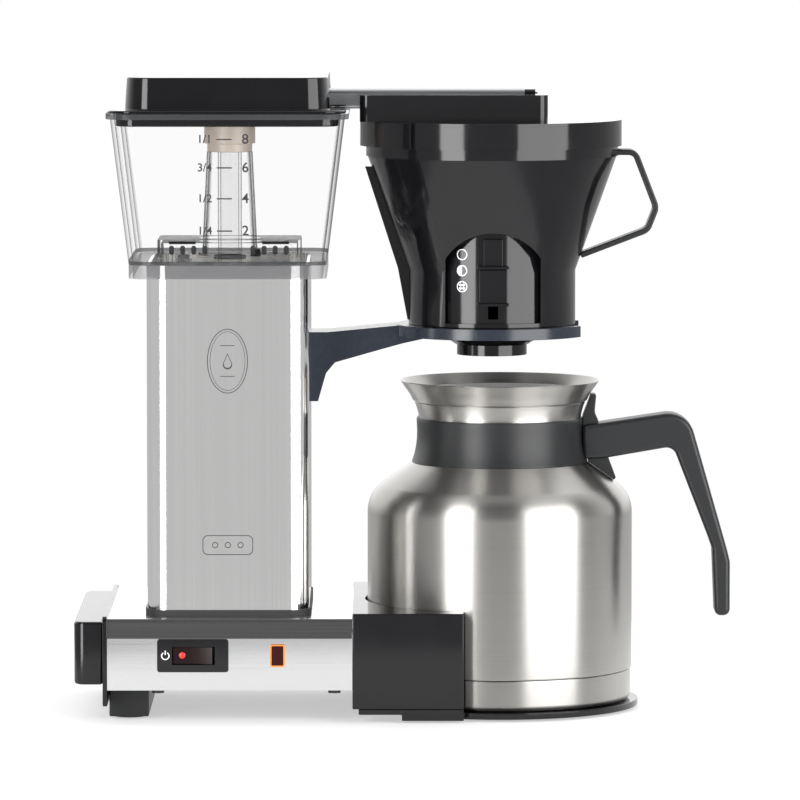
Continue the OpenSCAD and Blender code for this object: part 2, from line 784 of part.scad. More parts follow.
// ---- Outlet arm ----
module outlet_arm() {
    x0 = column_x - arm_w / 2;
    len = arm_end_x - 6 - x0;
    color("#8f9296") difference() {
        union() {
            along_x(x0, len) translate([0, arm_z + arm_h / 2]) rounded_rect(arm_w, arm_h, 2.5);
            translate([column_x, 0, arm_z - 8]) cylinder(r = riser_r, h = 9);
        }
        along_x(x0 + arm_wall, len) translate([0, arm_z + arm_h / 2])
            rounded_rect(arm_w - 2 * arm_wall, arm_h - 2 * arm_wall, 1.6);
        translate([column_x, 0, arm_z - 9]) cylinder(r = riser_r - riser_wall, h = 11);
        for (i = [0 : spray_count - 1], sy = [-1, 1])
            translate([basket_x - 12 + 7 * i, sy * 5, arm_z - eps]) cylinder(r = spray_r, h = 3);
    }
}

module arm_end_plug() {
    x0 = arm_end_x - 6;
    color("#1c1c1e") {
        along_x(x0, 6) translate([0, arm_z + arm_h / 2]) rounded_rect(arm_w, arm_h, 2.5);
        along_x(x0 - 5, 5.2) translate([0, arm_z + arm_h / 2])
            rounded_rect(arm_w - 2 * arm_wall - 0.1, arm_h - 2 * arm_wall - 0.1, 1.5);
    }
}

// ---- Fork bracket ----
module at_bracket_screws() {
    for (dz = [12, 32]) translate([column_face_x - column_wall, 0, fork_top - dz]) children();
}

module basket_bracket() {
    reach = basket_x - column_face_x;
    color("#2b2f38") difference() {
        union() {
            translate([basket_x, 0, fork_top - fork_t]) cylinder(r = fork_r, h = fork_t);
            translate([column_face_x, 0, fork_top]) across_y(bracket_w)
                polygon([[0, -4], [10, -4], [reach - fork_r + 4, 0], [reach - 36, 0],
                         [reach - 36, -fork_t - 1], [reach - 50, -10.3], [40, -13.6], [14, -21],
                         [9, -27], [4.5, -bracket_drop], [0, -bracket_drop]]);
        }
        translate([basket_x, 0, fork_top - 20]) cylinder(r = neck_r + 0.5, h = 30);
        translate([basket_x, -neck_r - 0.5, fork_top - 20]) cube([fork_r + 5, 2 * neck_r + 1, 30]);
        translate([basket_x, 0, fork_top - fork_t - 20]) cylinder(r = neck_r + 9, h = 20);
        translate([basket_x, -neck_r - 9, fork_top - fork_t - 20])
            cube([fork_r + 5, 2 * neck_r + 18, 20]);
        at_bracket_screws() rotate([0, 90, 0]) cylinder(r = 1.9, h = 8);
    }
}

module bracket_screws() {
    color("#b9bcc0") at_bracket_screws() translate([-1.8, 0, 0]) rotate([0, 90, 0])
        pan_screw(3.6, 1.8, 1.9 - fit_gap, column_wall + 5);
}

// ---- Brew basket ----
// The basket's outer surface from its drum to its rim, as radius and height
function basket_skin(extra) = [
    [drum_r + extra, basket_low], [drum_r + extra, basket_low + drum_h],
    [cone_top_r + extra, cone_top_z], [step_r + extra, cone_top_z],
    [step_r + extra, cone_top_z + 5.7], [basket_rim_r + extra, cone_top_z + 5.7],
    [basket_rim_r + extra, basket_rim_z]];

module basket_body() {
    w = basket_wall;
    mouth_slope = (funnel_top_r - mouth_r) / (cone_top_z + 3 - mouth_z);
    inner_skin = [[funnel_top_r, cone_top_z + 3], [step_r - w, cone_top_z + 8],
                  [step_r - w + 0.4, basket_rim_z]];
    color("#161618") translate([basket_x, 0, 0]) difference() {
        union() {
            rotate_extrude() difference() {
                polygon(concat([[0, basket_low]], basket_skin(0), [[0, basket_rim_z]]));
                polygon(concat([[0, mouth_z]], [[mouth_r, mouth_z]], inner_skin, [[0, basket_rim_z]]));
                polygon([[tube_r, basket_low + w], [drum_r - w, basket_low + w],
                         [drum_r - w, basket_low + drum_h],
                         [drum_r - w + 6, basket_low + drum_h + 17],
                         [tube_r, mouth_z + (tube_r - mouth_r) / mouth_slope - 1.3 * w]]);
                square([tube_r - 2, mouth_z - w]);
                square([mouth_r, mouth_z + 1]);
            }
            translate([0, 0, basket_low - fork_t - 0.9]) cylinder(r = neck_r, h = fork_t + 1.4);
            translate([0, 0, basket_low - fork_t - 5.5])
                cylinder(r1 = outlet_r + 1, r2 = neck_r + 6, h = 4.6);
            translate([0, 0, basket_low - 17.6]) cylinder(r = outlet_r, h = 12.2);
            intersection() {
                tube(panel_r, w, basket_low + w - 0.2, arch_top);
                translate([-30, -60, 0]) cube([60, 60, arch_top]);
            }
            across_y(9) polygon([[-cone_top_r - 1.4, cone_top_z - 6], [-drum_r - 6, basket_low + 31],
                                 [-drum_r - 0.6, basket_low + 2], [-drum_r + 1, basket_low + 2],
                                 [-drum_r + 1, basket_low + drum_h], [-cone_top_r + 4, cone_top_z - 6]]);
        }
        translate([0, 0, basket_low - 20]) cylinder(r = tube_r - 2, h = 22);
        difference() {
            translate([0, -30, basket_low]) rotate([90, 0, 0]) linear_extrude(40) {
                translate([-26.5, w]) square([53, 33]);
                translate([0, 20 + w]) intersection() {
                    circle(r = 31);
                    translate([-26.5, 0]) square([53, 40]);
                }
            }
            translate([0, 0, basket_low - 1]) cylinder(r = panel_r, h = 80);
        }
        translate([-2.8, -panel_r - 1, bridge_z - drip_travel - 0.5])
            cube([5.6, panel_r + 1, 4 + 2 * drip_travel + 1]);
        translate([-6, -panel_r - 3.4, arch_top - 12]) cube([12, 3.4, 19]);
    }
}

module basket_lid() {
    slot = arm_w + 3;
    box_x0 = basket_x - basket_rim_r - 1.4;
    box_x1 = box_x0 + lid_box_len;
    box_mid = (box_x0 + box_x1) / 2;
    box_top = lid_box_z + lid_box_h;
    wall = 2;
    // Half angle of the part skirt about the side that faces the column
    skirt_turn = 52;
    color("#17171a") difference() {
        union() {
            translate([basket_x, 0, basket_rim_z]) cylinder(r = basket_rim_r, h = lid_disc_t);
            translate([basket_x, 0, 0])
                tube(step_r - basket_wall - 0.2, wall, basket_rim_z - 4.5, basket_rim_z + 0.2);
            intersection() {
                translate([basket_x, 0, 0])
                    tube(basket_rim_r + move_gap + wall, wall, basket_rim_z - lid_hang, lid_box_z);
                translate([basket_x, 0, 0]) linear_extrude(400) polygon([[0, 0],
                    [-120, -120 * tan(skirt_turn)], [-120, 120 * tan(skirt_turn)]]);
            }
            difference() {
                translate([box_mid, 0, 0])
                    slab(lid_box_len, 2 * lid_box_half_d, 5, lid_box_z - 0.2, box_top);
                translate([box_mid, 0, 0])
                    slab(lid_box_len - 2 * wall, 2 * lid_box_half_d - 2 * wall, 3,
                         lid_box_z - 1, box_top - wall);
            }
            translate([box_x0 + 1, -slot / 2 - wall, basket_rim_z])
                cube([arm_end_x + 1.5 + wall - box_x0 - 1, slot + 2 * wall, box_top - basket_rim_z - 0.5]);
            translate([basket_x, 0, 0]) intersection() {
                tube(basket_rim_r + move_gap + wall, wall + 3, basket_rim_z, lid_box_z);
                translate([-100, -lid_box_half_d, 0]) cube([100, 2 * lid_box_half_d, 400]);
            }
        }
        translate([box_x0 - 10, -slot / 2, basket_rim_z - 20])
            cube([arm_end_x + 1.5 - box_x0 + 10, slot, 60]);
    }
}

module basket_handle() {
    top = cone_top_z + 2;
    reach = basket_handle_reach;
    color("#1c1c1e") translate([basket_x, 0, 0]) difference() {
        across_y(basket_strap_w)
            strip([[step_r - 3, top], [reach - 13.5, top], [reach - 1.6, top - 31],
                   [reach - 6.5, top - 43.5], [drum_r + 1, top - 58.5]], basket_strap_t);
        translate([0, 0, cone_top_z]) cylinder(r = step_r + fit_gap, h = 12);
        translate([0, 0, basket_low + drum_h])
            cylinder(r1 = drum_r + fit_gap, r2 = cone_top_r + fit_gap, h = cone_top_z - basket_low - drum_h);
    }
}

slide_y = -panel_r - move_gap;
module drip_slide() {
    knob_z = bridge_z - 1.6;
    color("#0f0f11") translate([basket_x, slide_y, 0]) {
        translate([-slide_w / 2, -3.2, knob_z]) cube([slide_w, 3.2, 20]);
        translate([-5.3, -2.4, knob_z + 20]) cube([10.6, 2.4, 17]);
        for (z = [knob_z, knob_z + 20.6])
            translate([-slide_w / 2 - 1, -6.4, z]) cube([slide_w + 2, 6.4, 1.6]);
    }
}

module drip_stem() {
    color("#2a2a2d") translate([basket_x, 0, 0]) {
        translate([-2, slide_y, bridge_z]) cube([4, -slide_y, 4]);
        translate([0, 0, bridge_z]) cylinder(r = 2.6, h = 4);
        translate([0, 0, bridge_z]) cylinder(r = 2, h = mouth_z + drip_travel + 9 - bridge_z);
    }
}

module drip_plug() {
    z0 = mouth_z + drip_travel + 0.5;
    color("#3a3a3e") translate([basket_x, 0, 0]) difference() {
        union() {
            translate([0, 0, z0]) cylinder(r1 = mouth_r, r2 = mouth_r + 4, h = 4.6);
            translate([0, 0, z0 + 4.6]) cylinder(r = mouth_r + 4, h = 3);
        }
        translate([0, 0, z0 - eps]) cylinder(r = 2.02, h = 20);
    }
}

// ---- Cradle ----
module jug_cradle() {
    top = base_top + cradle_above;
    low = pad_h + tray_t + 2.9;
    color("#1d1d20") difference() {
        translate([cradle_x, front_y, low]) cube([cradle_len, base_depth, top - low]);
        translate([jug_x, 0, low - eps]) cylinder(r = jug_recess_r, h = top);
    }
}

module jug_tray() {
    tray_r = jug_r + tray_margin;
    top = pad_h + tray_t;
    color("#141416") difference() {
        union() {
            translate([jug_x, 0, pad_h]) cylinder(r = tray_r, h = tray_t);
            translate([cradle_x + 27.3, front_y + 0.5, pad_h])
                cube([cradle_len - 27.3, base_depth - 1, tray_t]);
            difference() {
                translate([cradle_x + 3.4, front_y + 0.5, top - 0.2])
                    cube([cradle_len - 3.4, base_depth - 1, 3.1]);
                translate([jug_x, 0, top]) cylinder(r = jug_recess_r, h = 10);
            }
        }
        translate([jug_x, 0, top - 1.2]) difference() {
            cylinder(r = jug_r - 3, h = 3);
            translate([0, 0, -eps]) cylinder(r = jug_r - 12, h = 5);
        }
    }
}

module tray_pads() {
    color("#0f0f10") for (a = [0, 120, 240])
        translate([jug_x + 58 * cos(a), 58 * sin(a), 0]) cylinder(r = 8, h = pad_h);
}

// ---- Jug ----
// The jug's outer side from its seam to the foot of its collar, moved in by inset
function jug_side(inset, z0) = concat(
    [[jug_r - inset, z0]],
    [for (i = [0 : 10]) let (a = shoulder_turn * i / 10)
        [jug_r - shoulder_r + (shoulder_r - inset) * cos(a),
         jug_side_top + (shoulder_r - inset) * sin(a)]]);

function neck_flare(inset, z0) = [
    [jug_neck_r - inset, z0], [jug_neck_r - inset, neck_z],
    [jug_neck_r + 0.8 - inset, neck_z + 4], [jug_neck_r + 2.6 - inset, neck_z + 9],
    [jug_neck_r + 3.4 - inset, neck_z + 9.6], [jug_neck_r + 6.4 - inset, neck_z + 15],
    [jug_rim_r - inset, jug_rim_z]];

// Where the shell ends inside the collar
shell_top_r = jug_neck_r + 0.6;
shell_top_z = collar_z + 2;

module jug_shell() {
    low = seam_z + 0.2;
    color("#a8a6a2") translate([jug_x, 0, 0]) rotate_extrude() difference() {
        polygon(concat([[0, low]], jug_side(0, low), [[shell_top_r, shell_top_z], [0, shell_top_z]]));
        polygon(concat([[0, low - 1]], jug_side(steel_t, low - 1),
                       [[shell_top_r - steel_t, shell_top_z - 1.4],
                        [shell_top_r - steel_t, shell_top_z + 1], [0, shell_top_z + 1]]));
    }
}

module jug_liner() {
    inset = steel_t + vacuum_gap;
    z0 = jug_z + 7;
    outer_neck = jug_neck_r - steel_t - 0.1;
    color("#8f9194") translate([jug_x, 0, 0]) rotate_extrude() difference() {
        polygon(concat([[0, z0]], jug_side(inset, z0), [[outer_neck, collar_z - 1],
                       [outer_neck, neck_z - 2], [0, neck_z - 2]]));
        polygon(concat([[0, z0 + steel_t]], jug_side(inset + steel_t, z0 + steel_t),
                       [[outer_neck - steel_t, collar_z - 2],
                        [outer_neck - steel_t, neck_z], [0, neck_z]]));
    }
}

module jug_base_cup() {
    r = jug_r - 0.6;
    color("#b4b2ae") translate([jug_x, 0, 0]) rotate_extrude() difference() {
        polygon([[0, jug_z], [r - 3, jug_z], [r - 0.9, jug_z + 0.9], [r, jug_z + 3], [r, seam_z], [0, seam_z]]);
        polygon([[0, jug_z + 2], [r - 3.4, jug_z + 2], [r - 1.2, jug_z + 3.6], [r - 1.2, seam_z + 1],
                 [0, seam_z + 1]]);
    }
}

module jug_neck() {
    z0 = collar_z + 3.2;
    color("#a8a6a2") translate([jug_x, 0, 0]) rotate_extrude() difference() {
        polygon(concat([[0, z0]], neck_flare(0, z0), [[0, jug_rim_z]]));
        polygon(concat([[0, z0 - 1]], neck_flare(steel_t, z0 - 1), [[0, jug_rim_z + 0.01]]));
    }
}

// The collar's waisted outer side
function collar_side(extra) = [[jug_neck_r + 3.9 + extra, collar_z],
    [jug_neck_r + 2.6 + extra, collar_z + 4], [jug_neck_r + 1.2 + extra, collar_z + 11],
    [jug_neck_r + 1 + extra, collar_z + 17], [jug_neck_r + 1.4 + extra, neck_z]];

module jug_collar() {
    color("#202023") translate([jug_x, 0, 0]) rotate_extrude() difference() {
        polygon(concat([[0, collar_z + 0.01]], collar_side(0), [[0, neck_z]]));
        translate([0, collar_z]) square([jug_neck_r + fit_gap, collar_h + 1]);
        polygon(concat([[0, seam_z]], jug_side(-fit_gap, seam_z),
                       [[shell_top_r + fit_gap, shell_top_z + fit_gap], [0, shell_top_z + fit_gap]]));
    }
}

module jug_handle() {
    r = handle_reach;
    tip = handle_tip_z;
    top = jug_rim_z - 18.3;
    envelope = concat([[0, 0]], jug_side(-fit_gap, 0), [[jug_neck_r + 6.6, collar_z]],
                      collar_side(fit_gap), neck_flare(-fit_gap, neck_z), [[0, jug_rim_z]]);
    color("#232326") translate([jug_x, 0, 0]) difference() {
        union() {
            across_y(handle_w) offset(r = 2.5, $fn = 24) offset(r = -2.5) offset(r = -4, $fn = 24)
                offset(r = 4)
                polygon([[jug_neck_r - 2, top - 7.6], [r - 36, top], [r - 26, top - 4], [r - 20, top - 12],
                         [r - 2.2, top - 75], [r, top - 83], [r, tip + 4], [r - 2.5, tip],
                         [r - 7, tip], [r - 8.4, tip + 4], [r - 10, tip + 39], [r - 12.5, tip + 45],
                         [r - 30, top - 24], [r - 33, top - 18], [r - 39, top - 20],
                         [r - 71, top - 25.5], [jug_neck_r - 2, top - 26]]);
            across_y(12) {
                polygon([[jug_neck_r - 2, top - 8], [jug_neck_r + 7, top - 8],
                         [jug_neck_r + 8.6, top + 10.5], [jug_neck_r + 4, top + 10.5]]);
                polygon([[jug_neck_r, top - 22], [jug_neck_r + 12, top - 22], [jug_r - 9, collar_z - 9],
                         [jug_r - 12, collar_z - 12]]);
            }
        }
        rotate_extrude() polygon(envelope);
    }
}

module jug_lid() {
    gap = steel_t + move_gap + 0.1;
    plug_r = jug_neck_r - 2 * steel_t - 0.1 - move_gap - 0.2;
    z0 = collar_z + 12;
    color("#1b1b1d") translate([jug_x, 0, 0]) difference() {
        union() {
            rotate_extrude() difference() {
                polygon([[0, z0], [plug_r, z0], [plug_r, neck_z + 0.5], [jug_neck_r - gap, neck_z + 2],
                         [jug_neck_r + 0.6 - gap, neck_z + 4.6],
                         [jug_neck_r + 2.3 - gap, neck_z + 9.8],
                         [jug_neck_r + 6 - gap, neck_z + 15.4], [0, neck_z + 15.4]]);
                polygon([[0, neck_z + 2], [12, neck_z + 2], [jug_neck_r + 4 - gap, neck_z + 16],
                         [0, neck_z + 16]]);
                square([5, 400]);
            }
            translate([0, 0, z0 - 22]) cylinder(r = 8, h = 23);
            for (s = [-1, 1]) translate([s * 22 - 1.5, -14, neck_z + 1]) cube([3, 28, 12]);
        }
        translate([0, 0, z0 - 23]) cylinder(r = 5, h = 60);
        rotate_extrude() translate([plug_r - 0.9, z0 + 6]) circle(r = 1.35);
    }
}

module jug_lid_seal() {
    plug_r = jug_neck_r - 2 * steel_t - 0.1 - move_gap - 0.2;
    color("#46464a") translate([jug_x, 0, collar_z + 18])
        rotate_extrude() translate([plug_r - 0.9, 0]) circle(r = 1.25);
}

base_housing();
base_bottom_plate();
end_flange();
end_cap();
base_foot();
foot_pads();
jug_cradle();
jug_tray();
tray_pads();
switch_bezel();
power_rocker();
switch_body();
lamp_lens();
lamp_holder();
cord_gland();
terminal_block();
base_screws();
column_gasket();
column_sleeve();
column_foot();
column_screws();
boiler_tube();
heater_sleeve();
thermostat();
thermal_fuse();
inlet_hose();
valve_body();
valve_ball();
riser_hose();
tank();
tank_lid();
riser_seal();
riser_tube();
riser_tower();
riser_cap();
inlet_grid();
float_block();
outlet_arm();
arm_end_plug();
basket_bracket();
bracket_screws();
basket_body();
basket_lid();
basket_handle();
drip_slide();
drip_stem();
drip_plug();
jug_shell();
jug_liner();
jug_base_cup();
jug_neck();
jug_collar();
jug_handle();
jug_lid();
jug_lid_seal();
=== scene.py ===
"""Finished look of a drip coffee maker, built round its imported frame.

Each sub-assembly is a dataclass that holds its sizes in metres, builds its meshes with bmesh
and dresses them. Every piece rides on the body that carries it.
"""

import json
import logging
import math
from dataclasses import dataclass, field
from enum import Enum

import bmesh
import bpy
from mathutils import Matrix, Vector
from mathutils.bvhtree import BVHTree


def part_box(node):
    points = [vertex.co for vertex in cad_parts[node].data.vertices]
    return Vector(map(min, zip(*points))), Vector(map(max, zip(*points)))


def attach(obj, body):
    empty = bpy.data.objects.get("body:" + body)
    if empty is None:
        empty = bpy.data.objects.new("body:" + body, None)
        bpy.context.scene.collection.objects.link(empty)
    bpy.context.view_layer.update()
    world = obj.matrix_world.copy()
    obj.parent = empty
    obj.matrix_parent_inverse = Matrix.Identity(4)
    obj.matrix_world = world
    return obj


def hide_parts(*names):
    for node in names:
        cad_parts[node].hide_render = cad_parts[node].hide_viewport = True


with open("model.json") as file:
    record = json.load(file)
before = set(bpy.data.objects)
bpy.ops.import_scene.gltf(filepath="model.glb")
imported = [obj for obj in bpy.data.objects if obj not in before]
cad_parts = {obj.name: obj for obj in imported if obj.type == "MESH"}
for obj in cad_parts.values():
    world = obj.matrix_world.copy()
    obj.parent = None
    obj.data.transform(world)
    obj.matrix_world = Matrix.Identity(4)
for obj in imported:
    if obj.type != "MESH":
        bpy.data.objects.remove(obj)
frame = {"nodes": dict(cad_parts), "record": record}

logging.basicConfig(level=logging.INFO, format="%(message)s")
log = logging.getLogger("coffee_maker")

Point2 = tuple[float, float]
Point3 = tuple[float, float, float]
Colour = tuple[float, float, float]
Pieces = tuple[tuple[str, str, float], ...]
Shape = bmesh.types.BMesh
NodeTree = bpy.types.NodeTree
Socket = bpy.types.NodeSocket
Inputs = bpy.types.bpy_prop_collection

MM = 0.001
SMOOTH_ANGLE = math.radians(35)
WELD = 0.003 * MM
FLAT_ANGLE = math.radians(0.5)
SHARP_DEGREES = 40.0
FONT_SIZE_PER_HEIGHT = 1.38
BOLD_PER_HEIGHT = 0.02
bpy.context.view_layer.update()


def map_range(tree: NodeTree, source: Socket, start: Point2,
              end: tuple[float | Socket, float | Socket]) -> Socket:
    """Adds a node that maps one range of values to another.

    Args:
        tree: the node tree.
        source: the socket that gives the value.
        start: the low and high ends of the value's range.
        end: what they become, each a number or a socket that gives it.

    Returns:
        The socket with the mapped value.
    """
    node = tree.nodes.new("ShaderNodeMapRange")
    node.inputs["From Min"].default_value, node.inputs["From Max"].default_value = start
    for name, value in zip(("To Min", "To Max"), end):
        if isinstance(value, Socket):
            tree.links.new(value, node.inputs[name])
        else:
            node.inputs[name].default_value = value
    tree.links.new(source, node.inputs["Value"])
    return node.outputs["Result"]


def noise_of(tree: NodeTree, place: Socket, scale: float,
             detail: float) -> Socket:
    """Adds a noise texture.

    Args:
        tree: the node tree.
        place: the socket that gives the coordinates.
        scale: the noise's scale.
        detail: its detail.

    Returns:
        The socket with the noise's value.
    """
    node = tree.nodes.new("ShaderNodeTexNoise")
    node.inputs["Scale"].default_value, node.inputs["Detail"].default_value = scale, detail
    tree.links.new(place, node.inputs["Vector"])
    return node.outputs["Fac"]


class Plane(Enum):
    """The plane an outline is drawn in; a prism of it is pushed along the third axis."""

    XY = (0, 1, 2)
    XZ = (0, 2, 1)
    YZ = (1, 2, 0)

    def place(self, u: float, v: float, w: float) -> Point3:
        """Puts outline coordinates and a depth into X, Y and Z."""
        spot = [0.0, 0.0, 0.0]
        for axis, value in zip(self.value, (u, v, w)):
            spot[axis] = value
        return (spot[0], spot[1], spot[2])


@dataclass(frozen=True)
class Finish:
    """A surface finish that builds its own node material.

    The grain is the number of noise cells per metre, one for all axes or one each for X, Y
    and Z, so a long cell along one axis gives brush marks in that direction.
    """

    # The edge alpha paints shade along the glancing edges of clear finishes, and the glow paints light on
    # marks that are no lamps.
    name: str
    colour: Colour
    roughness: float
    metallic: float = 0.0
    grain: Point3 | float = 160.0
    tone: float = 0.1
    roughness_stray: float = 0.04
    bump: float = 0.02
    bump_grain: float = 6.0
    alpha: float = 1.0
    glow: float = 0.0
    specular: float = 0.5
    edge_shade_alpha: float = 0.0
    edge_start: float = 0.7
    anisotropy: float = 0.0
    noise_range: Point2 = (0.3, 0.7)

    def build(self) -> bpy.types.Material:
        """Makes the node material.

        Returns:
            The material, with colour, roughness and bump all led by procedural noise.
        """
        material = bpy.data.materials.new(self.name)
        material.use_nodes = True
        tree = material.node_tree
        inputs = tree.nodes["Principled BSDF"].inputs
        for name, value in (("Metallic", self.metallic), ("Alpha", self.alpha),
                            ("Specular IOR Level", self.specular)):
            inputs[name].default_value = value
        coords = tree.nodes.new("ShaderNodeTexCoord")
        mapping = tree.nodes.new("ShaderNodeMapping")
        even = (self.grain,) * 3 if isinstance(self.grain, (int, float)) else self.grain
        mapping.inputs["Scale"].default_value = even
        tree.links.new(coords.outputs["Object"], mapping.inputs["Vector"])
        place = mapping.outputs["Vector"]
        self.lead_colour(tree, inputs, noise_of(tree, place, 1.0, 4.0))
        if self.bump > 0:
            self.add_bump(tree, inputs, place)
        if self.anisotropy > 0:
            self.add_brushing(tree, inputs)
        # Painted shade: alpha rises at glancing angles so a clear finish's dark colour shows along its edges,
        # standing in for the dark refraction there.
        if self.edge_shade_alpha > 0:
            facing = tree.nodes.new("ShaderNodeLayerWeight")
            rise = map_range(tree, facing.outputs["Facing"], (self.edge_start, 1.0),
                             (self.alpha, self.edge_shade_alpha))
            tree.links.new(rise, inputs["Alpha"])
        if self.glow > 0:
            inputs["Emission Color"].default_value = (*self.colour, 1)
            inputs["Emission Strength"].default_value = self.glow
        return material

    def lead_colour(self, tree: NodeTree, inputs: Inputs,
                    noise: Socket) -> None:
        """Lets noise vary the colour and the roughness.

        Args:
            tree: the material's node tree.
            inputs: the shader's inputs.
            noise: the socket with the noise's value.
        """
        ramp = tree.nodes.new("ShaderNodeValToRGB")
        for stop, position, tone in zip(ramp.color_ramp.elements, self.noise_range,
                                        (1 - self.tone, 1 + self.tone)):
            stop.position = position
            stop.color = (*(min(c * tone, 1.0) for c in self.colour), 1)
        tree.links.new(noise, ramp.inputs["Fac"])
        tree.links.new(ramp.outputs["Color"], inputs["Base Color"])
        spread = map_range(tree, noise, self.noise_range,
                           (max(self.roughness - self.roughness_stray, 0.01),
                            self.roughness + self.roughness_stray))
        tree.links.new(spread, inputs["Roughness"])

    def add_bump(self, tree: NodeTree, inputs: Inputs,
                 place: Socket) -> None:
        """Adds a fine bump.

        Args:
            tree: the material's node tree.
            inputs: the shader's inputs.
            place: the socket that gives the coordinates.
        """
        bump = tree.nodes.new("ShaderNodeBump")
        bump.inputs["Strength"].default_value = self.bump
        bump.inputs["Distance"].default_value = 0.3 * MM
        tree.links.new(noise_of(tree, place, self.bump_grain, 2.0), bump.inputs["Height"])
        tree.links.new(bump.outputs["Normal"], inputs["Normal"])

    def add_brushing(self, tree: NodeTree, inputs: Inputs) -> None:
        """Stretches the gloss along the object's own Z.

        Args:
            tree: the material's node tree.
            inputs: the shader's inputs.
        """
        inputs["Anisotropic"].default_value = self.anisotropy
        upright = tree.nodes.new("ShaderNodeCombineXYZ")
        upright.inputs["Z"].default_value = 1.0
        carried = tree.nodes.new("ShaderNodeVectorTransform")
        carried.vector_type = "VECTOR"
        carried.convert_from, carried.convert_to = "OBJECT", "WORLD"
        tree.links.new(upright.outputs["Vector"], carried.inputs["Vector"])
        tree.links.new(carried.outputs["Vector"], inputs["Tangent"])


class Finishes:
    """The finishes of this machine, each built once when it is first asked for."""

    ALL = (
        Finish("sleeve_aluminium", (0.93, 0.93, 0.925), 0.11, 1.0, (700, 700, 2), 0.02, 0.03, 0.012),
        Finish("housing_aluminium", (0.66, 0.66, 0.665), 0.13, 1.0, (2, 700, 700), 0.02, 0.03, 0.012),
        Finish("jug_steel", (0.4, 0.39, 0.375), 0.33, 1.0, (5, 5, 2200), 0.03, 0.03, 0.03, 1.5,
               anisotropy=0.85),
        Finish("arm_steel", (0.36, 0.37, 0.38), 0.28, 1.0, (4, 900, 900), 0.06, 0.05, 0.04),
        Finish("zinc_steel", (0.6, 0.61, 0.63), 0.34, 1.0, tone=0.12, roughness_stray=0.08),
        Finish("gloss_black", (0.005, 0.005, 0.006), 0.1, grain=60, bump=0.01,
               roughness_stray=0.02, specular=0.4),
        Finish("satin_black", (0.009, 0.0095, 0.0105), 0.38, grain=900, bump=0.015,
               roughness_stray=0.02, specular=0.4),
        Finish("slate_plastic", (0.014, 0.018, 0.027), 0.2, grain=500, bump=0.03, specular=0.45),
        Finish("pad_rubber", (0.02, 0.02, 0.02), 0.65, grain=700, bump=0.12),
        Finish("rocker_red", (0.008, 0.0015, 0.0015), 0.2, grain=80, specular=0.2),
        Finish("lamp_amber", (0.03, 0.002, 0.001), 0.2, grain=90, specular=0.2),
        # painted highlight: the lens edge glows orange though the lamp behind it is unlit
        Finish("lamp_edge_painted_highlight", (0.85, 0.22, 0.03), 0.25, grain=90, glow=0.15),
        Finish("copper", (0.70, 0.36, 0.22), 0.28, 1.0, (90, 90, 20), 0.12, 0.08, 0.05),
        Finish("cast_metal", (0.48, 0.48, 0.5), 0.48, 1.0, 400, 0.12, 0.08, 0.2),
        Finish("ceramic", (0.72, 0.68, 0.58), 0.4, grain=200, tone=0.06),
        Finish("silicone_hose", (0.7, 0.68, 0.64), 0.45, grain=120, tone=0.06),
        Finish("steel_ball", (0.75, 0.76, 0.78), 0.08, 1.0, tone=0.04, roughness_stray=0.02),
        # clear plastic whose glancing edges turn dark: painted shade for refraction
        Finish("clear_plastic", (0.035, 0.037, 0.04), 0.3, grain=20, bump=0.0,
               specular=0.02, alpha=0.01, edge_shade_alpha=0.97, edge_start=0.42),
        Finish("clear_side", (0.05, 0.052, 0.056), 0.3, grain=20, bump=0.0, specular=0.03, alpha=0.03),
        # painted shade: the clear skirt below the floor greyed to stand for the dark refraction
        Finish("clear_skirt", (0.16, 0.16, 0.165), 0.12, grain=20, bump=0.0,
               specular=0.2, alpha=0.42, edge_shade_alpha=0.9, edge_start=0.4),
        # painted shade: dark bands at the rim, the floor edge and the grid's ribs
        Finish("clear_rim", (0.045, 0.047, 0.05), 0.2, grain=20, bump=0.0, specular=0.1, alpha=0.85),
        Finish("clear_floor", (0.62, 0.63, 0.64), 0.08, grain=20, bump=0.0, specular=0.3, alpha=0.07),
        # glass tube whose glancing edges turn dark: painted shade for refraction
        Finish("riser_glass", (0.04, 0.042, 0.045), 0.05, grain=20, bump=0.0,
               specular=0.3, alpha=0.05, edge_shade_alpha=0.95, edge_start=0.5),
        Finish("warm_silicone", (0.42, 0.36, 0.31), 0.42, grain=140, tone=0.06),
        Finish("white_print", (0.9, 0.9, 0.9), 0.5, grain=300, tone=0.03, bump=0.0),
        Finish("black_print", (0.015, 0.015, 0.016), 0.5, grain=300, bump=0.0),
        Finish("etched_line", (0.05, 0.05, 0.052), 0.45, 0.6, 300, 0.1, 0.04, 0.0),
        # the red is the spot's own print; its glow is painted light
        Finish("red_print_painted_glow", (0.85, 0.02, 0.02), 0.3, grain=300, bump=0.0, glow=0.35),
    )

    def __init__(self) -> None:
        """Starts with no material built."""
        self._recipes = {finish.name: finish for finish in self.ALL}
        self._built: dict[str, bpy.types.Material] = {}

    def get(self, name: str) -> bpy.types.Material:
        """Gives the material of that name, building it the first time.

        Args:
            name: the finish's name.

        Returns:
            The node material.
        """
        if name not in self._built:
            self._built[name] = self._recipes[name].build()
        return self._built[name]


FINISHES = Finishes()


def axis_of(node: str) -> Point2:
    """Gives the X and Y of the upright axis through the middle of a CAD node's box."""
    low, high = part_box(node)
    return ((low[0] + high[0]) / 2, (low[1] + high[1]) / 2)


def levels(node: str) -> Point2:
    """Gives the heights of a CAD node's foot and top."""
    return tuple(corner[2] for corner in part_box(node))


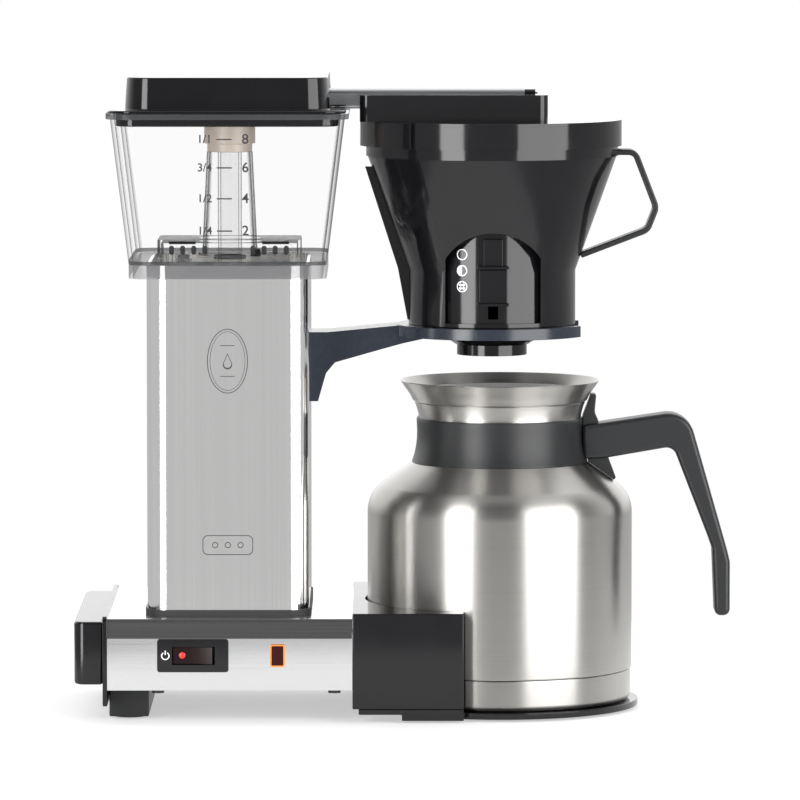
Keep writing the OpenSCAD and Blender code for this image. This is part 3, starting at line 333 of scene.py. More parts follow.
def arc(cx: float, cy: float, r: float, start: float, stop: float, steps: int = 8) -> list[Point2]:
    """Gives points along a circular arc.

    Args:
        cx: first coordinate of the centre.
        cy: second coordinate of the centre.
        r: radius.
        start: first angle in degrees.
        stop: last angle in degrees.
        steps: number of spans along the arc.

    Returns:
        The points from start to stop, both included.
    """
    turns = [math.radians(start + (stop - start) * i / steps) for i in range(steps + 1)]
    return [(cx + r * math.cos(t), cy + r * math.sin(t)) for t in turns]


def circle(cx: float, cy: float, r: float, steps: int) -> list[Point2]:
    """Gives a circle's points, each once."""
    return arc(cx, cy, r, 0, 360 - 360 / steps, steps - 1)


def rounded_outline(cx: float, cy: float, w: float, h: float, r: float, steps: int = 8) -> list[Point2]:
    """Gives a rectangle's outline with rounded corners, anticlockwise.

    Args:
        cx: first coordinate of the middle.
        cy: second coordinate of the middle.
        w: size along the first axis.
        h: size along the second axis.
        r: corner radius.
        steps: number of spans in each corner.

    Returns:
        The outline's points.
    """
    points: list[Point2] = []
    for sx, sy, turn in ((1, 1, 0), (-1, 1, 90), (-1, -1, 180), (1, -1, 270)):
        points += arc(cx + sx * (w / 2 - r), cy + sy * (h / 2 - r), r, turn, turn + 90, steps)
    return points


def filleted(corners: list[Point3], steps: int = 8) -> list[Point2]:
    """Rounds the corners of a closed outline.

    Args:
        corners: each corner's two coordinates and the radius of its rounding, in millimetres.
        steps: spans in each rounding.

    Returns:
        The rounded outline, in metres.
    """
    points: list[Point2] = []
    for i, (x, y, radius) in enumerate(corners):
        here = Vector((x, y))
        before = (Vector(corners[i - 1][:2]) - here).normalized()
        after = (Vector(corners[(i + 1) % len(corners)][:2]) - here).normalized()
        half = before.angle(after) / 2
        if radius <= 0 or half > 1.56:
            points.append((x * MM, y * MM))
            continue
        middle = here + (before + after).normalized() * (radius / math.sin(half))
        first = here + before * (radius / math.tan(half)) - middle
        last = here + after * (radius / math.tan(half)) - middle
        sweep = first.angle_signed(last)
        for step in range(steps + 1):
            turn = -sweep * step / steps
            spoke = Matrix.Rotation(turn, 2) @ first
            points.append(((middle.x + spoke.x) * MM, (middle.y + spoke.y) * MM))
    return points


def lathe(profile: list[Point2], axis: Point2, closed: bool = False, steps: int = 96) -> Shape:
    """Turns a profile about an upright axis.

    Args:
        profile: radius and height of each point.
        axis: X and Y of the axis.
        closed: whether the last point joins the first, as for a ring.
        steps: spans round the axis.

    Returns:
        The turned shape with its faces pointing outwards.
    """
    bm = bmesh.new()
    verts = [bm.verts.new((axis[0] + r, axis[1], z)) for r, z in profile]
    pairs = list(zip(verts, verts[1:]))
    if closed:
        pairs.append((verts[-1], verts[0]))
    edges = [bm.edges.new(pair) for pair in pairs]
    bmesh.ops.spin(bm, geom=verts + edges, cent=(axis[0], axis[1], 0), axis=(0, 0, 1),
                   angle=math.tau, steps=steps, use_merge=True)
    bmesh.ops.remove_doubles(bm, verts=bm.verts, dist=0.002 * MM)
    bmesh.ops.recalc_face_normals(bm, faces=bm.faces)
    return bm


def prism(outline: list[Point2], plane: Plane, low: float, high: float,
          hole: list[Point2] | None = None) -> Shape:
    """Pushes an outline along the axis across its plane.

    Args:
        outline: the outline's points.
        plane: the plane that the outline is drawn in.
        low: where the prism starts along the third axis.
        high: where it ends.
        hole: an inner outline with as many points, cut right through.

    Returns:
        The prism.
    """
    bm = bmesh.new()
    loops = []
    for ring in [outline] + ([hole] if hole else []):
        verts = [bm.verts.new(plane.place(u, v, low)) for u, v in ring]
        loops.append([bm.edges.new(pair) for pair in zip(verts, verts[1:] + verts[:1])])
    if hole:
        faces = bmesh.ops.bridge_loops(bm, edges=loops[0] + loops[1])["faces"]
    else:
        faces = bmesh.ops.contextual_create(bm, geom=loops[0])["faces"]
    pushed = bmesh.ops.extrude_face_region(bm, geom=faces, use_keep_orig=True)
    far_side = [item for item in pushed["geom"] if isinstance(item, bmesh.types.BMVert)]
    bmesh.ops.translate(bm, verts=far_side, vec=plane.place(0, 0, high - low))
    bmesh.ops.recalc_face_normals(bm, faces=bm.faces)
    return bm


def soften(bm: Shape, width: float, segments: int = 3, angle: float = 35.0) -> Shape:
    """Rounds every edge that turns by more than an angle.

    Args:
        bm: the mesh.
        width: width of the rounding.
        segments: spans across it.
        angle: the smallest turn, in degrees, that is rounded.

    Returns:
        The same mesh.
    """
    limit = math.radians(angle)
    edges = [e for e in bm.edges if len(e.link_faces) == 2 and e.calc_face_angle(0.0) > limit]
    if edges:
        bmesh.ops.bevel(bm, geom=edges, offset=width, offset_type="OFFSET", segments=segments,
                        profile=0.5, affect="EDGES", clamp_overlap=True, material=-1)
    return bm


def join(parts: list[Shape]) -> Shape:
    """Puts several meshes into one.

    Args:
        parts: the meshes; all but the new one are freed.

    Returns:
        One mesh that holds them all as separate shells.
    """
    whole = bmesh.new()
    for part in parts:
        spare = bpy.data.meshes.new("spare")
        part.to_mesh(spare)
        whole.from_mesh(spare)
        part.free()
        bpy.data.meshes.remove(spare)
    return whole


def copy_of(node: str, round_by: float = 0.35 * MM, segments: int = 2) -> Shape:
    """Copies a CAD node's mesh, welds it and rounds its edges.

    Args:
        node: the CAD node.
        round_by: width of the edge rounding.
        segments: spans across the rounding.

    Returns:
        The welded and softened copy.
    """
    bm = bmesh.new()
    bm.from_mesh(frame["nodes"][node].data)
    bmesh.ops.remove_doubles(bm, verts=bm.verts, dist=WELD)
    bmesh.ops.dissolve_limit(bm, angle_limit=FLAT_ANGLE, verts=bm.verts, edges=bm.edges)
    return soften(bm, round_by, segments, SHARP_DEGREES) if round_by > 0 else bm


def linked(name: str, data: bpy.types.ID) -> bpy.types.Object:
    """Makes an object of some data and links it to the scene.

    Args:
        name: the object's name.
        data: its mesh, curve, light or camera.

    Returns:
        The object.
    """
    made = bpy.data.objects.new(name, data)
    bpy.context.scene.collection.objects.link(made)
    return made


def add_piece(name: str, bm: Shape, finish: str, body: str,
              nodes: tuple[str, ...] = ()) -> bpy.types.Object:
    """Makes a finished piece of a mesh.

    Args:
        name: the piece's name.
        bm: its mesh, in the machine's frame; it is freed.
        finish: the name of its finish.
        body: the body that it rides on.
        nodes: the CAD nodes that it stands for.

    Returns:
        The new object.
    """
    mesh = bpy.data.meshes.new(name)
    bm.to_mesh(mesh)
    bm.free()
    mesh.shade_smooth()
    mesh.set_sharp_from_angle(angle=SMOOTH_ANGLE)
    piece = linked(name, mesh)
    mesh.materials.append(FINISHES.get(finish))
    even = piece.modifiers.new("even_normals", "WEIGHTED_NORMAL")
    even.keep_sharp = True
    even.weight = 90
    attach(piece, body)
    if nodes:
        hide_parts(*nodes)
    log.info("%s: %d faces on %s", name, len(mesh.polygons), body)
    return piece


def add_look(node: str, bm: Shape, finish: str, name: str = "") -> bpy.types.Object:
    """Makes the piece that stands for a CAD node, on the node's body.

    Args:
        node: the CAD node.
        bm: the piece's mesh; it is freed.
        finish: the name of its finish.
        name: the piece's name, if it isn't the node's with _look.

    Returns:
        The new object.
    """
    record = frame["record"]
    body = next(key for key, nodes in record["behaviour"]["bodies"].items() if node in nodes)
    return add_piece(name or f"{node}_look", bm, finish, body, (node,))


def dress(node: str, finish: str) -> None:
    """Gives a CAD node that stays in view its finish.

    Args:
        node: the node's name.
        finish: the name of its finish.
    """
    piece = frame["nodes"][node]
    piece.data.materials.clear()
    piece.data.materials.append(FINISHES.get(finish))


def flat_sign(outline: list[Point2], thick: float, hole: list[Point2] | None = None) -> Shape:
    """Makes a thin flat mark that stands in the XZ plane and faces -Y.

    Args:
        outline: the mark's outline, across and up.
        thick: how far it stands off its surface.
        hole: an inner outline with as many points.

    Returns:
        The mark, with its back in the plane y = 0.
    """
    return prism(outline, Plane.XZ, -thick, 0.0, hole)


def numeral(text: str, height: float, thick: float) -> Shape:
    """Makes plain numerals that stand in the XZ plane and face -Y, centred on the origin.

    Args:
        text: the numerals.
        height: their height.
        thick: how far they stand off their surface.

    Returns:
        The numerals as a mesh.
    """
    curve = bpy.data.curves.new("numeral", "FONT")
    curve.body = text
    curve.align_x, curve.align_y = "CENTER", "CENTER"
    curve.size = height * FONT_SIZE_PER_HEIGHT
    curve.extrude = thick / 2
    curve.offset = height * BOLD_PER_HEIGHT
    holder = linked("numeral", curve)
    shape = holder.to_mesh()
    bm = bmesh.new()
    bm.from_mesh(shape)
    holder.to_mesh_clear()
    bpy.data.objects.remove(holder)
    bpy.data.curves.remove(curve)
    bmesh.ops.rotate(bm, verts=bm.verts, cent=(0, 0, 0), matrix=Matrix.Rotation(math.pi / 2, 3, "X"))
    bmesh.ops.translate(bm, verts=bm.verts, vec=(0, -thick / 2, 0))
    return bm


def moved(bm: Shape, spot: Point3, lean: float = 0.0) -> Shape:
    """Leans a mark about the X axis and moves it.

    Args:
        bm: the mark.
        spot: where its origin goes.
        lean: the angle, in radians, by which its face turns downwards.

    Returns:
        The same mesh.
    """
    bmesh.ops.rotate(bm, verts=bm.verts, cent=(0, 0, 0), matrix=Matrix.Rotation(lean, 3, "X"))
    bmesh.ops.translate(bm, verts=bm.verts, vec=spot)
    return bm


def wrapped(bm: Shape, axis: Point2, radius: float) -> Shape:
    """Wraps a flat mark round an upright cylinder; x = 0 lands in front of the axis.

    Args:
        bm: the mark, with x as its place round the cylinder.
        axis: X and Y of the cylinder's axis.
        radius: the cylinder's radius.

    Returns:
        The same mesh.
    """
    for vert in bm.verts:
        turn = vert.co.x / radius
        reach = radius - vert.co.y
        vert.co.x = axis[0] + reach * math.sin(turn)
        vert.co.y = axis[1] - reach * math.cos(turn)
    return bm


@dataclass
class TankScale:
    """The fill scale printed on the front of the tank."""

    levels: tuple[tuple[float, str, str], ...] = (
        (322.0, "1/1", "8"), (306.3, "3/4", "6"), (289.2, "1/2", "4"), (271.3, "1/4", "2"))
    tick_width: float = 8.4 * MM
    tick_height: float = 0.75 * MM
    figure_height: float = 5.6 * MM
    share_height: float = 4.6 * MM
    ink: float = 0.03 * MM
    figure_shift: float = 11.6 * MM
    share_shift: float = -10.8 * MM
    left_by: float = 1.4 * MM
    wall_foot: Point2 = (-66.8 * MM, 252.0 * MM)
    wall_head: Point2 = (-74.8 * MM, 335.8 * MM)

    def face(self, z: float) -> Point2:
        """Gives the place of the front wall's face at a height.

        Args:
            z: the height.

        Returns:
            The face's Y there, and its lean in radians.
        """
        (foot_y, foot_z), (head_y, head_z) = self.wall_foot, self.wall_head
        run = (head_y - foot_y) / (head_z - foot_z)
        return foot_y + (z - foot_z) * run, math.atan(-run)

    def build(self) -> None:
        """Prints the ticks and the figures."""
        middle = axis_of("column_sleeve")[0] - self.left_by
        marks = []
        for level, share, figure in self.levels:
            z = level * MM
            y, lean = self.face(z)
            for shift, mark in (
                (0.0, flat_sign(rounded_outline(0, 0, self.tick_width, self.tick_height, 0.1 * MM, 2),
                                self.ink)),
                (self.figure_shift, numeral(figure, self.figure_height, self.ink)),
                (self.share_shift, numeral(share, self.share_height, self.ink)),
            ):
                marks.append(moved(mark, (middle + shift, y - 0.01 * MM, z), lean))
        add_piece("tank_scale", join(marks), "black_print", "machine")


@dataclass
class SwitchMarks:
    """The power sign beside the rocker and the red spot on it."""

    sign_radius: float = 2.3 * MM
    line: float = 0.55 * MM
    ink: float = 0.04 * MM
    gap_angle: float = 34.0
    spot_radius: float = 1.8 * MM
    spot_in: float = 5.0 * MM
    sunk: float = 0.05 * MM

    def build(self) -> None:
        """Makes both marks."""
        low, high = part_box("switch_bezel")
        middle = (low[2] + high[2]) / 2
        rocker_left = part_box("power_rocker")[0][0]
        across = (low[0] + rocker_left) / 2 + 0.2 * MM
        r = self.sign_radius
        start, stop = 90 + self.gap_angle, 450 - self.gap_angle
        outer = arc(0, 0, r, start, stop, 32)
        inner = arc(0, 0, r - self.line, stop, start, 32)
        ring = flat_sign(outer + inner, self.ink)
        bar = flat_sign(rounded_outline(0, r * 0.75, self.line, r * 1.05, self.line * 0.3, 3), self.ink)
        sign = moved(join([ring, bar]), (across, low[1], middle))
        add_piece("power_sign", sign, "white_print", "machine")
        left = rocker_left + self.spot_in
        spot = lathe([(0, 0), (self.spot_radius, 0), (self.spot_radius * 0.8, 0.25 * MM),
                      (0, 0.35 * MM)], (0, 0), steps=24)
        place = (left, front_of("power_rocker", left, middle) + self.sunk, middle)
        moved(spot, place, math.pi / 2)
        # The red spot is printed on the rocker; its finish also glows, which is painted light.
        add_piece("rocker_spot", spot, "red_print_painted_glow", "rocker")


class Flow(Enum):
    """What a drip stop sign shows."""

    CLOSED = "circle with four dots"
    HALF = "half-filled circle"
    OPEN = "open circle"


@dataclass
class DripMarks:
    """The three signs beside the drip stop's slide."""

    heights: tuple[tuple[float, Flow], ...] = (
        (256.6, Flow.OPEN), (247.7, Flow.HALF), (238.8, Flow.CLOSED))
    panel_radius: float = 43.5 * MM
    turn: float = -23.3
    radius: float = 3.1 * MM
    line: float = 0.55 * MM
    ink: float = 0.04 * MM

    def sign(self, flow: Flow) -> Shape:
        """Makes one sign, centred on the origin.

        Args:
            flow: what the sign shows.

        Returns:
            The sign, flat.
        """
        r = self.radius
        shapes = [flat_sign(circle(0, 0, r, 24), self.ink, circle(0, 0, r - self.line, 24))]
        if flow is Flow.HALF:
            shapes.append(flat_sign(arc(0, 0, r - 1.2 * self.line, 90, 270, 16), self.ink))
        if flow is Flow.CLOSED:
            for turn in (45, 135, 225, 315):
                cx = r * 0.42 * math.cos(math.radians(turn))
                cy = r * 0.42 * math.sin(math.radians(turn))
                shapes.append(flat_sign(circle(cx, cy, r * 0.24, 12), self.ink))
        return join(shapes)

    def build(self) -> None:
        """Prints the signs on the panel."""
        axis = (axis_of("drip_slide")[0], 0.0)
        signs = []
        for height, flow in self.heights:
            sign = self.sign(flow)
            shift = math.radians(self.turn) * self.panel_radius
            bmesh.ops.translate(sign, verts=sign.verts, vec=(shift, 0, height * MM))
            signs.append(wrapped(sign, axis, self.panel_radius))
        add_piece("drip_signs", join(signs), "white_print", "basket")


@dataclass
class ColumnBadges:
    """Two plain etched marks on the front of the column."""

    oval_z: float = 199.1 * MM
    oval_size: Point2 = (22.6 * MM, 35.8 * MM)
    plate_z: float = 97.0 * MM
    plate_size: Point2 = (28.0 * MM, 11.0 * MM)
    line: float = 0.45 * MM
    depth: float = 0.03 * MM

    def oval(self, inset: float, steps: int = 64) -> list[Point2]:
        """Gives the oval's outline.

        Args:
            inset: how far the outline is moved in.
            steps: its number of points.

        Returns:
            The outline's points.
        """
        half_w, half_h = self.oval_size[0] / 2 - inset, self.oval_size[1] / 2 - inset
        return [(half_w * math.cos(math.tau * i / steps), half_h * math.sin(math.tau * i / steps))
                for i in range(steps)]

    def drop(self, scale: float) -> list[Point2]:
        """Gives a drop's outline about the origin.

        Args:
            scale: its size against the full drop.

        Returns:
            The outline's points.
        """
        foot = arc(0, -2.0 * MM * scale, 2.6 * MM * scale, -210, 30, 20)
        return foot + [(0.0, 4.4 * MM * scale)]

    def build(self) -> None:
        """Etches both marks."""
        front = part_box("column_sleeve")[0][1]
        middle = axis_of("column_sleeve")[0]
        wide, tall = self.plate_size
        oval = [flat_sign(self.oval(0), self.depth, self.oval(self.line)),
                flat_sign(self.oval(1.5 * MM), self.depth, self.oval(1.5 * MM + self.line * 0.6)),
                flat_sign(self.drop(1.0), self.depth, self.drop(0.8))]
        for height in (-8.4, 8.6):
            oval.append(flat_sign(rounded_outline(0, height * MM, 8 * MM, 0.4 * MM, 0.1 * MM, 2), self.depth))
        plate = [flat_sign(rounded_outline(0, 0, wide, tall, 3 * MM, 8), self.depth,
                           rounded_outline(0, 0, wide - 2 * self.line, tall - 2 * self.line,
                                           3 * MM - self.line, 8))]
        for shift in (-7.0, 0.0, 7.0):
            plate.append(flat_sign(circle(shift * MM, 0, 1.7 * MM, 24), self.depth,
                                   circle(shift * MM, 0, 1.25 * MM, 24)))
        face = front - 0.005 * MM
        add_piece("oval_mark", moved(join(oval), (middle, face, self.oval_z)), "etched_line",
                  "machine")
        add_piece("plate_mark", moved(join(plate), (middle, face, self.plate_z)), "etched_line",
                  "machine")


@dataclass
class InnerWorks:
    """The pieces inside the machine that keep their CAD shapes."""

    finishes: dict[str, str] = field(default_factory=lambda: {
        "base_screws": "satin_black", "column_screws": "zinc_steel", "bracket_screws": "zinc_steel",
        "column_foot": "zinc_steel", "switch_body": "satin_black", "lamp_holder": "satin_black",
        "terminal_block": "ceramic", "boiler_tube": "copper", "heater_sleeve": "cast_metal",
        "thermostat": "satin_black", "thermal_fuse": "ceramic", "inlet_hose": "silicone_hose",
        "valve_body": "cast_metal", "valve_ball": "steel_ball", "riser_hose": "silicone_hose",
        "riser_seal": "pad_rubber", "jug_liner": "jug_steel", "drip_stem": "satin_black",
        "drip_plug": "pad_rubber", "jug_lid_seal": "pad_rubber", "base_bottom_plate": "satin_black",
        "arm_end_plug": "gloss_black", "tray_pads": "pad_rubber", "foot_pads": "pad_rubber",
        "cord_gland": "pad_rubber", "column_gasket": "pad_rubber",
    })

    def build(self) -> None:
        """Dresses each inner piece."""
        for node, finish in self.finishes.items():
            dress(node, finish)


@dataclass
class SubAssembly:
    """Pieces that keep their CAD shape, welded and given rounded edges."""

    pieces: Pieces = ()

    def build(self) -> None:
        """Makes a softened copy of each piece in place of its node."""
        for node, finish, edge in self.pieces:
            self.refine(node, add_look(node, copy_of(node, edge * MM), finish))

    def refine(self, node: str, piece: bpy.types.Object) -> None:
        """Does nothing more to a piece, unless a sub-assembly says so."""


@dataclass
class Base(SubAssembly):
    """The housing with its end, foot, cradle and round tray."""

    pieces: Pieces = (
        ("base_housing", "housing_aluminium", 0.4), ("end_flange", "gloss_black", 0.6),
        ("end_cap", "gloss_black", 1.5), ("base_foot", "satin_black", 0.8),
        ("jug_cradle", "gloss_black", 0.7), ("jug_tray", "gloss_black", 0.5))
    lean_height: float = 10.8 * MM

    def refine(self, node: str, piece: bpy.types.Object) -> None:
        """Keeps the crease where the housing's long sides begin to lean.

        Args:
            node: the CAD node that the piece stands for.
            piece: the piece.
        """
        if node != "base_housing":
            return
        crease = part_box(node)[1][2] - self.lean_height
        points = piece.data.vertices
        for edge in piece.data.edges:
            if all(abs(points[v].co.z - crease) < 0.2 * MM for v in edge.vertices):
                edge.use_edge_sharp = True


@dataclass
class SwitchAndLamp(SubAssembly):
    """The rocker in its bezel and the lamp's lens."""

    pieces: Pieces = (
        ("switch_bezel", "gloss_black", 0.3), ("power_rocker", "rocker_red", 0.3),
        ("lamp_lens", "lamp_amber", 0.4))


@dataclass
class Column(SubAssembly):
    """The column's brushed sleeve."""

    pieces: Pieces = (("column_sleeve", "sleeve_aluminium", 0.3),)


@dataclass
class TankLid(SubAssembly):
    """The tank's black lid."""

    pieces: Pieces = (("tank_lid", "gloss_black", 0.8),)


@dataclass
class Riser(SubAssembly):
    """The clear tower in the tank, its tube and cap, the grid at its foot and the float."""

    # The tube, tower and grid take clear finishes whose edges darken: painted shade for refraction.
    pieces: Pieces = (
        ("riser_tube", "riser_glass", 0.2), ("riser_tower", "clear_plastic", 0.2),
        ("riser_cap", "warm_silicone", 0.5), ("inlet_grid", "clear_plastic", 0.3),
        ("float_block", "satin_black", 0.3))


@dataclass
class Outlet(SubAssembly):
    """The steel outlet arm and the fork bracket under the basket."""

    pieces: Pieces = (
        ("outlet_arm", "arm_steel", 0.3), ("basket_bracket", "slate_plastic", 0.8))


@dataclass
class BrewBasket(SubAssembly):
    """The cone basket with its lid and the drip stop's slide."""

    pieces: Pieces = (
        ("basket_body", "gloss_black", 0.5), ("basket_lid", "gloss_black", 0.5),
        ("drip_slide", "gloss_black", 0.3))


@dataclass
class JugLid:
    """The jug's lid: a plug and a dish turned about the jug's axis, two grips and a pipe."""

    neck_radius: float = 45.5 * MM
    plug_radius: float = 42.9 * MM
    wall: float = 1.4 * MM
    rise: float = 15.4 * MM
    pipe: Point3 = (5.0 * MM, 8.0 * MM, 22.0 * MM)
    dish_radius: float = 12.0 * MM
    grip: Point3 = (22.0 * MM, 3.0 * MM, 28.0 * MM)

    def build(self) -> None:
        """Turns the dish and the pipe and adds the grips, all as one piece."""
        low, high = levels("jug_lid")
        axis = axis_of("jug_lid")
        neck, plug = high - self.rise, low + self.pipe[2]
        rim = self.neck_radius - self.wall
        bore, outer = self.pipe[:2]
        slope = (rim + 4 * MM - self.dish_radius) / (14 * MM)
        profile = [(bore, plug), (self.plug_radius, plug), (self.plug_radius, neck + 0.5 * MM),
                   (rim, neck + 2 * MM), (rim + 0.6 * MM, neck + 4.6 * MM),
                   (rim + 2.3 * MM, neck + 9.8 * MM),
                   (rim + 6 * MM, high), (self.dish_radius + slope * 13.4 * MM, high),
                   (self.dish_radius, neck + 2 * MM), (bore, neck + 2 * MM)]
        shapes = [lathe(profile, axis, True, 128),
                  lathe([(bore, low), (outer, low), (outer, plug + 1 * MM), (bore, plug + 1 * MM)],
                        axis, True, 64)]
        across, thick, length = self.grip
        for side in (-1, 1):
            outline = rounded_outline(axis[0] + side * across, axis[1], thick, length, 1.2 * MM, 5)
            shapes.append(soften(prism(outline, Plane.XY, neck + 1 * MM, neck + 13 * MM), 0.5 * MM, 3, 50.0))
        add_look("jug_lid", join(shapes), "gloss_black")


def front_of(node: str, x: float, z: float) -> float:
    """Finds how far forward a CAD node reaches.

    Args:
        node: the node's name.
        x: where to look along X.
        z: where to look along Z.

    Returns:
        The Y of the node's frontmost surface there.
    """
    mesh = frame["nodes"][node].data
    tree = BVHTree.FromPolygons([v.co for v in mesh.vertices], [tuple(f.vertices) for f in mesh.polygons])
    hit = tree.ray_cast(Vector((x, -1, z)), Vector((0, 1, 0)))[0]
    return hit.y


class TankPart(Enum):
    """The parts of the tank that have their own finish, in the order of its materials."""

    WALL = "clear_plastic"
    FLOOR = "clear_floor"
    SIDE = "clear_side"
    SKIRT = "clear_skirt"
    RIM = "clear_rim"


@dataclass
class WaterTank:
    """The clear water tank, with painted shade: dark lines at its corners, floor edge and rim, and a greyer
    skirt, standing in for the dark refraction in clear plastic.
    """

    edge: float = 0.5 * MM
    floor_low: float = 252.0 * MM
    floor_top: float = 254.2 * MM
    rim_low: float = 332.8 * MM
    cut_above: float = 0.05 * MM

    def build(self) -> None:
        """Softens the tank's edges and gives its parts their own finishes, whose dark lines and grey skirt
        are painted shade.
        """
        walls = copy_of("tank", self.edge, 2)
        for level in (self.floor_low, self.floor_top):
            bmesh.ops.bisect_plane(walls, geom=walls.verts[:] + walls.edges[:] + walls.faces[:],
                                   plane_co=(0, 0, level + self.cut_above), plane_no=(0, 0, 1))
        parts = list(TankPart)
        piece = add_look("tank", walls, parts[0].value)
        for part in parts[1:]:
            piece.data.materials.append(FINISHES.get(part.value))
        for face in piece.data.polygons:
            face.material_index = parts.index(self.part_of(face))

    def part_of(self, face: bpy.types.MeshPolygon) -> TankPart:
        """Tells which part of the tank a face belongs to.

        Args:
            face: a face of the tank.

        Returns:
            The part.
        """
        if abs(face.normal.z) > 0.7:
            return TankPart.FLOOR
        # The rim and the floor edge take the dark painted-shade finish.
        if face.center.z > self.rim_low or self.floor_low < face.center.z < self.floor_top:
            return TankPart.RIM
        if face.center.z <= self.floor_low:
            return TankPart.SKIRT
        flat_side = abs(face.normal.x) > 0.9 and abs(face.normal.y) < 0.04
        return TankPart.SIDE if flat_side else TankPart.WALL


@dataclass
class GridRibs:
    """The ribs and the two dark top bars of the clear grid on the tank's floor; the ribs take a dark clear
    finish, painted shade for the refraction in the clear ribs.
    """

    inset: float = 14.0 * MM
    bar: Point2 = (15.0 * MM, 1.5 * MM)
    rib: Point2 = (2.8 * MM, 5.0 * MM)
    first_rib: float = 8.0 * MM
    rib_count: int = 4
    pitch: float = 6.2 * MM
    sheet: float = 0.5 * MM

    def build(self) -> None:
        """Builds the bars and the ribs on the grid's front wall."""
        low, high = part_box("inlet_grid")
        front = low[1] + 0.1 * MM
        bars, ribs = [], []
        for side, end in ((1, low[0]), (-1, high[0])):
            bar = rounded_outline(end + side * self.inset, high[2] - self.bar[1], *self.bar, 0.3 * MM, 3)
            bars.append(prism(bar, Plane.XZ, front, front + self.sheet))
            for i in range(self.rib_count):
                across = end + side * (self.first_rib + i * self.pitch)
                rib = rounded_outline(across, low[2] + self.rib[1] * 0.8, *self.rib, 1.3 * MM, 6)
                ribs.append(prism(rib, Plane.XZ, front, front + self.sheet))
        add_piece("inlet_grid_bars", join(bars), "gloss_black", "machine")
        # The ribs' dark clear finish is painted shade.
        add_piece("inlet_grid_ribs", join(ribs), "clear_rim", "machine")


